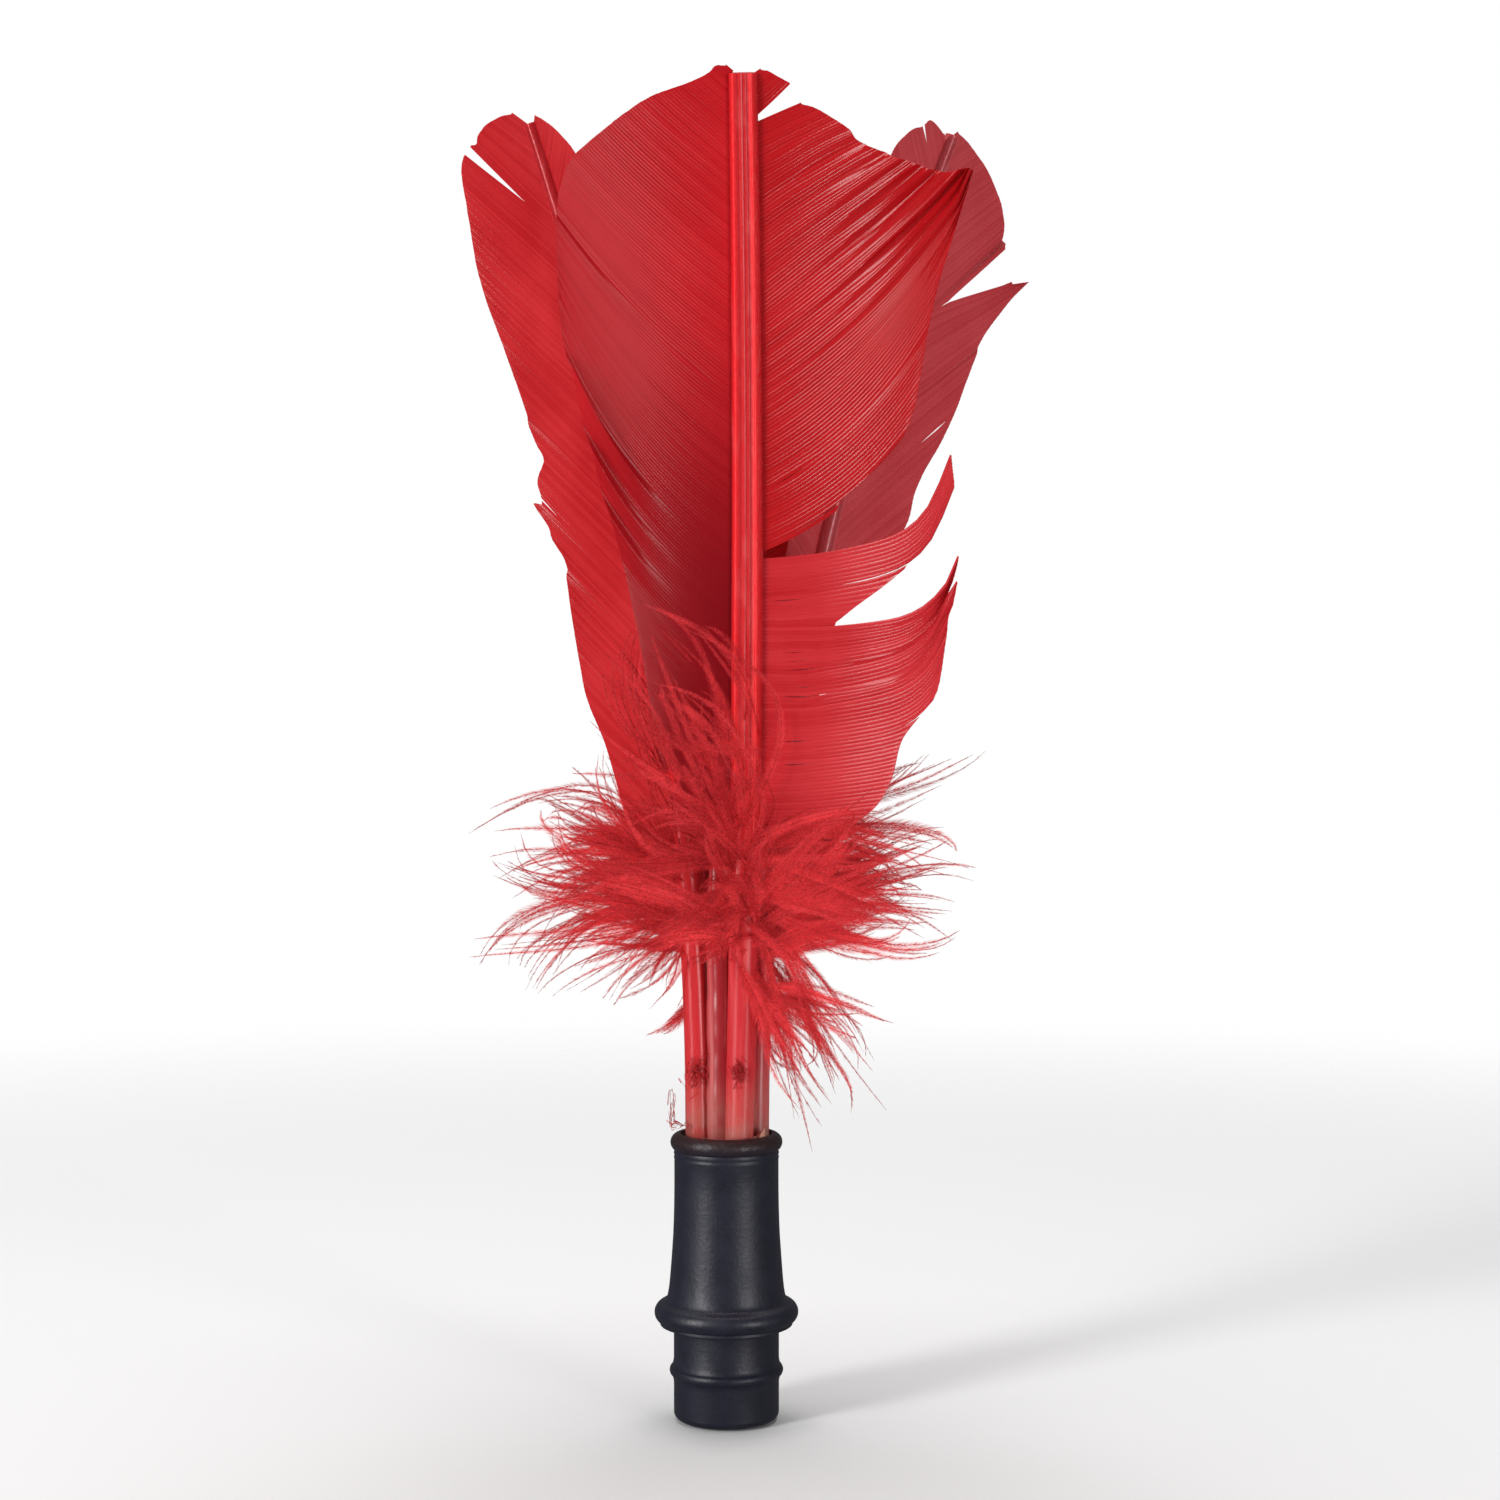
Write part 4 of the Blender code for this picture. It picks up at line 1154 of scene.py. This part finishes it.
def thread_mesh(name, paths, rng):
    """Tapering three-sided threads that darken to their tips."""
    n, m, _ = paths.shape
    first, second = unit_pair(unit(np.gradient(paths, axis=1)))
    radius = THREAD_RADIUS * (1 - THREAD_TAPER * np.linspace(0, 1, m))
    turns = np.arange(3) * 2 * math.pi / 3
    ring = first[:, :, None] * np.cos(turns)[:, None] + second[:, :, None] * np.sin(turns)[:, None]
    points = paths[:, :, None] + ring * radius[None, :, None, None]
    sides = [
        (3 * k + c, 3 * k + (c + 1) % 3, 3 * k + 3 + (c + 1) % 3, 3 * k + 3 + c)
        for k in range(m - 1)
        for c in range(3)
    ]
    caps = [(2, 1, 0), (3 * m - 3, 3 * m - 2, 3 * m - 1)]
    faces = []
    for block in (np.array(sides), np.array(caps)):
        all_threads = block[None] + 3 * m * np.arange(n)[:, None, None]
        faces += all_threads.reshape(-1, block.shape[1]).tolist()
    tone = rng.uniform(0.1, 0.8, n)[:, None] - 0.7 * np.linspace(0, 1, m) ** 4
    tone = np.repeat(np.clip(tone, 0, 1).ravel(), 3)
    return closed_mesh(name, points.reshape(-1, 3), faces, {"barb_tone": tone})


def barbule_mesh(name, paths, rng):
    """A closed spike for every barbule, set along both sides of the threads and shorter towards
    their tips."""
    n, m, _ = paths.shape
    lengths = np.linalg.norm(np.diff(paths, axis=1), axis=2).sum(axis=1)
    way = unit(np.gradient(paths, axis=1))
    first, second = unit_pair(way)
    owner = np.repeat(np.arange(n), np.maximum(3, (lengths / BARBULE_PITCH).astype(int)) * 2)
    place = rng.uniform(0.02, 0.98, len(owner)) * (m - 1)
    low = np.minimum(place.astype(int), m - 2)
    part = (place - low)[:, None]
    spot = paths[owner, low] * (1 - part) + paths[owner, low + 1] * part
    roll = rng.normal(0, 0.6, len(owner)) + math.pi * rng.integers(0, 2, len(owner))
    out = first[owner, low] * np.cos(roll)[:, None] + second[owner, low] * np.sin(roll)[:, None]
    aim = unit(way[owner, low] * rng.normal(2.3, 0.6, len(owner))[:, None] + out)
    share = place / (m - 1)
    long = rng.uniform(*BARBULE_LENGTHS, len(owner)) * (1 - 0.75 * share**1.5)
    p, q = unit_pair(aim)
    turns = np.arange(3) * 2 * math.pi / 3
    base = [spot + BARBULE_RADIUS * (p * math.cos(t) + q * math.sin(t)) for t in turns]
    points = np.stack([*base, spot + aim * long[:, None]], axis=1)
    block = np.array([(0, 1, 3), (1, 2, 3), (2, 0, 3), (0, 2, 1)])
    faces = (block[None] + 4 * np.arange(len(owner))[:, None, None]).reshape(-1, 3)
    tone = np.repeat(rng.uniform(0.4, 1, len(owner)) * (1 - 0.5 * share**3), 4)
    return closed_mesh(name, points.reshape(-1, 3), faces, {"barb_tone": tone})


def film_mesh(name, paths, facing, rng):
    """A thin film on both sides of each thread, slightly cupped, for the barbules too fine to draw
    one by one.  film_along and film_reach are millimetres along and out from the thread."""
    n, m, _ = paths.shape
    way = unit(np.gradient(paths, axis=1))
    outward = np.array([math.cos(facing), math.sin(facing), 0.0])
    outward = unit(outward + rng.normal(0, 0.35, (n, 1, 3)))
    side = unit(np.cross(way, outward))
    share = np.linspace(0, 1, m)
    taper = (1 - share) ** 0.8 * (1 + 0.6 * share) * smooth_step(share, -0.1, 0.15)
    half = FILM_REACH * rng.uniform(0.5, 1.2, (n, 1)) * taper
    steps = np.linalg.norm(np.diff(paths, axis=1), axis=2)
    along = np.concatenate([np.zeros((n, 1)), np.cumsum(steps, axis=1)], axis=1)
    along += 60.0 * np.arange(n)[:, None]  # so that no two threads have the same rows
    sign = np.array([-1.0, 0.0, 1.0])
    points = paths[:, :, None] + side[:, :, None] * (half[:, :, None] * sign)[..., None]
    points += outward[:, :, None] * (FILM_CUP * half[:, :, None] * np.abs(sign))[..., None]
    block = np.array([
        (3 * k + c, 3 * k + c + 1, 3 * k + c + 4, 3 * k + c + 3)
        for k in range(m - 1)
        for c in (0, 1)
    ])
    faces = (block[None] + 3 * m * np.arange(n)[:, None, None]).reshape(-1, 4)
    attributes = {
        "barb_tone": np.repeat(rng.uniform(0.2, 1, n), 3 * m),
        "film_along": np.repeat(along.ravel(), 3),
        "film_reach": (half[:, :, None] * np.abs(sign)).ravel(),
        "film_edge": np.tile(np.abs(sign), n * m),
    }
    return closed_mesh(name, points.reshape(-1, 3), faces, attributes)


def dyed_down(name, dark, light):
    """A material and tree for dyed down, and its colour: from dark to light by each thread's own
    tone, in clouds 8 mm wide."""
    made, tree = new_finish(name)
    place = add(tree, "TexCoord").outputs["Object"]
    tone = add(tree, "Attribute", attribute_name="barb_tone").outputs["Fac"]
    cloud = add(tree, "TexNoise", {"Vector": place, "Scale": spaced(7.692), "Detail": 3.0})
    mixed = add(tree, "Math", {0: tone, 1: cloud.outputs["Fac"]}, operation="MULTIPLY")
    level = add(
        tree, "MapRange", {"Value": mixed.outputs[0], "From Min": 0.0, "From Max": 0.5}
    )
    colour = add(
        tree, "MixRGB",
        {"Fac": level.outputs[0], "Color1": linear(dark), "Color2": linear(light)},
    )
    return made, tree, colour.outputs[0]


def dyed_threads():
    """Down threads: matt, with dark tips where the dye has gathered."""
    made, tree, colour = dyed_down("red_dyed_down_threads", "#94141B", "#E8383C")
    finish_with(tree, Base_Color=colour, Roughness=0.6, Specular_IOR_Level=0.25)
    return made


FILM_ROW_PITCH = 1 / 3
FILM_SLANT = 1.6


def dyed_film():
    """Barbules as a see-through film, matt and bright because light comes through it.  They stand
    0.02 mm apart, drawn here at 0.3 mm to show, and slant forward from the thread."""
    made, tree, colour = dyed_down("red_dyed_down_film", "#B01A21", "#F24449")
    along = add(tree, "Attribute", attribute_name="film_along").outputs["Fac"]
    reach = add(tree, "Attribute", attribute_name="film_reach").outputs["Fac"]
    edge = add(tree, "Attribute", attribute_name="film_edge").outputs["Fac"]
    slant = add(tree, "Math", {0: reach, 1: FILM_SLANT}, operation="MULTIPLY")
    back = add(tree, "Math", {0: along, 1: slant.outputs[0]}, operation="SUBTRACT")
    spot = add(tree, "CombineXYZ", {"X": back.outputs[0], "Y": reach})
    drawn_out = add(tree, "Mapping", {"Vector": spot.outputs[0], "Scale": (1.0, 0.25, 1.0)})
    rows = add(
        tree, "TexNoise",
        {"Vector": drawn_out.outputs[0], "Scale": 1 / FILM_ROW_PITCH, "Detail": 3.0},
    )
    dense = add(
        tree, "MapRange",
        {"Value": rows.outputs["Fac"], "From Min": 0.38, "From Max": 0.62, "To Min": 0.12,
         "To Max": 0.85},
    )
    thin = add(
        tree, "MapRange",
        {"Value": edge, "From Min": 0.25, "From Max": 1.0, "To Min": 1.0, "To Max": 0.0},
    )
    cover = add(tree, "Math", {0: dense.outputs[0], 1: thin.outputs[0]}, operation="MULTIPLY")
    finish_with(
        tree, Base_Color=colour, Roughness=0.7, Specular_IOR_Level=0.1, Alpha=cover.outputs[0]
    )
    return made


# front_feather_lower_down is more of the front feather's down, and replaces no node of its own.
DOWN = {
    "front_feather_down": (FRONT, [
        Spray(14, (44, 64), [(-20, 60), (-16, 74), (-9, 84)], (-22, -17), 0.0, 0.9, 2, 0.5),
        Spray(8, (50, 72), [(-15, 84), (-10, 90), (-4, 84)], (-24, -19), 0.0, 0.7, 2, 0.5),
        Spray(6, (44, 54), [(-6, 72), (-2, 76)], (-22, -18), 0.0, 0.5, 2, 0.5),
        Spray(8, (40, 50), [(-4, 58), (2, 58), (8, 62)], (-22, -17), 0.05, 0.8, 3, 0.5),
        Spray(14, (36, 48), [(-15, 50), (-7, 57), (3, 52), (10, 50)], (-22, -15), 0.04, 1.0, 4,
              0.5),
        Spray(11, (30, 50), [(-25, 35), (-23, 46), (-13, 56)], (-22, -12), 0.10, 1.4, 6, 0.45),
        Spray(11, (30, 50), [(13, 57), (23, 51), (28, 42)], (-22, -12), 0.08, 1.4, 6, 0.45),
        Spray(10, (31, 42), [(-10, 36), (0, 40), (10, 35)], (-22, -15), 0.16, 1.3),
    ]),
    "front_feather_lower_down": (FRONT, [
        Spray(17, (30, 48), [(22, 55), (32, 48), (35, 38), (30, 31)], (-20, -4), 0.06, 1.7, 6, 0.4),
        Spray(13, (24, 40), [(25, 19), (19, 10), (11, 8)], (-18, -4), 0.10, 1.3, 4, 0.5),
        Spray(9, (32, 40), [(-14, 31), (-6, 31), (4, 29)], (-19, -11), 0.10, 1.2),
    ]),
    "left_feather_down": (LEFT, [
        Spray(24, (33, 46), [(-38, 28), (-38, 42), (-30, 53)], (-14, 8), 0.14, 1.9, 6, 0.4),
        Spray(13, (31, 42), [(-34, 25), (-25, 25), (-14, 22)], (-12, 6), 0.14, 1.5, 5, 0.45),
        Spray(10, (40, 48), [(-20, 64), (-26, 62), (-31, 55)], (-12, 2), -0.16, 1.1, 5, 0.5),
        Spray(12, (44, 62), [(-14, 84), (-19, 76), (-12, 92)], (-16, -11), 0.02, 0.6, 3),
        Spray(4, (31, 36), [(-12, 20), (-9, 16)], (-6, 0), 0.05, 0.7, 2),
    ]),
    "right_feather_down": (RIGHT, [
        Spray(19, (34, 48), [(34, 35), (35, 44), (29, 55)], (-10, 10), 0.08, 1.8, 6, 0.4),
        Spray(12, (22, 36), [(26, 18), (20, 7), (14, 7)], (-8, 8), 0.12, 1.3, 4, 0.5),
        Spray(8, (42, 50), [(26, 66), (31, 61)], (-8, 8), 0.0, 0.9, 5),
        Spray(3, (46, 52), [(42, 62), (40, 61)], (-2, 4), 0.03, 0.4, 3),
    ]),
    "back_feather_down": (BACK, [
        Spray(34, (28, 46), [(-26, 30), (-22, 46), (-10, 60)], (14, 26), 0.10, 1.2),
        Spray(34, (28, 46), [(26, 30), (22, 46), (10, 60)], (14, 26), 0.10, 1.2),
        Spray(14, (22, 36), [(-14, 12), (14, 12)], (10, 20), 0.14),
        Spray(14, (36, 56), [(-8, 70), (8, 70)], (16, 22), 0.04, 0.6, 4),
    ]),
}
thread_finish = dyed_threads()
film_finish = dyed_film()
FIRST_DOWN_SEED = 51
for seed, (name, (feather, sprays)) in enumerate(DOWN.items(), start=FIRST_DOWN_SEED):
    rng = np.random.default_rng(seed)
    paths = np.concatenate([thread_paths(feather, spray, rng) for spray in sprays])
    node = [name] if name in frame["nodes"] else []
    threads = thread_mesh(name + "_threads", paths, rng)
    shown(name + "_threads", threads, [thread_finish], node)
    # Real barbules are too fine to shade each other, so only the threads cast shadows.
    barbules = barbule_mesh(name + "_barbules", paths, rng)
    barbules = shown(name + "_barbules", barbules, [thread_finish], [])
    barbules.visible_shadow = False
    film = film_mesh(name + "_film", paths, feather.facing, rng)
    film = shown(name + "_film", film, [film_finish], [])
    film.visible_shadow = False

# ---------------------------------------------------------------- matted scraps
# Scraps of down that stuck in the glue on the quills and at the rim when the tuft was made:
# curled threads, matted and dark.


def scrap_paths(centre, reach, count, rng):
    """Curled threads within reach of a centre, all in millimetres."""
    t = np.linspace(0, 1, THREAD_STATIONS)[None, :, None]
    size = (count, 1, 3)
    start = rng.normal(0, 0.5, size) * reach
    bend = rng.uniform(3.0, 7.0, size)
    curl = np.sin(bend * t + rng.uniform(0, 6, size)) * reach * rng.uniform(0.3, 0.7, size)
    return np.asarray(centre, float) + start + curl


# Each scrap is (centre, reach on each axis, number of threads).
SCRAPS = [
    ((-4.9, -2.6, 57.2), (1.7, 0.5, 2.4), 30), ((2.2, -6.9, 58.6), (1.5, 0.4, 2.0), 22),
    ((5.4, -5.2, 67.0), (0.8, 0.5, 2.6), 24), ((-9.0, -1.6, 50.6), (0.6, 0.5, 3.4), 6),
    ((-8.4, -2.6, 49.0), (1.2, 0.6, 0.8), 12),
]
SCRAP_SEED = 61
rng = np.random.default_rng(SCRAP_SEED)
scraps = np.concatenate([scrap_paths(*scrap, rng) for scrap in SCRAPS])
scraps = thread_mesh("matted_scraps_threads", scraps, rng)
shown("matted_scraps_threads", scraps, [thread_finish], [])
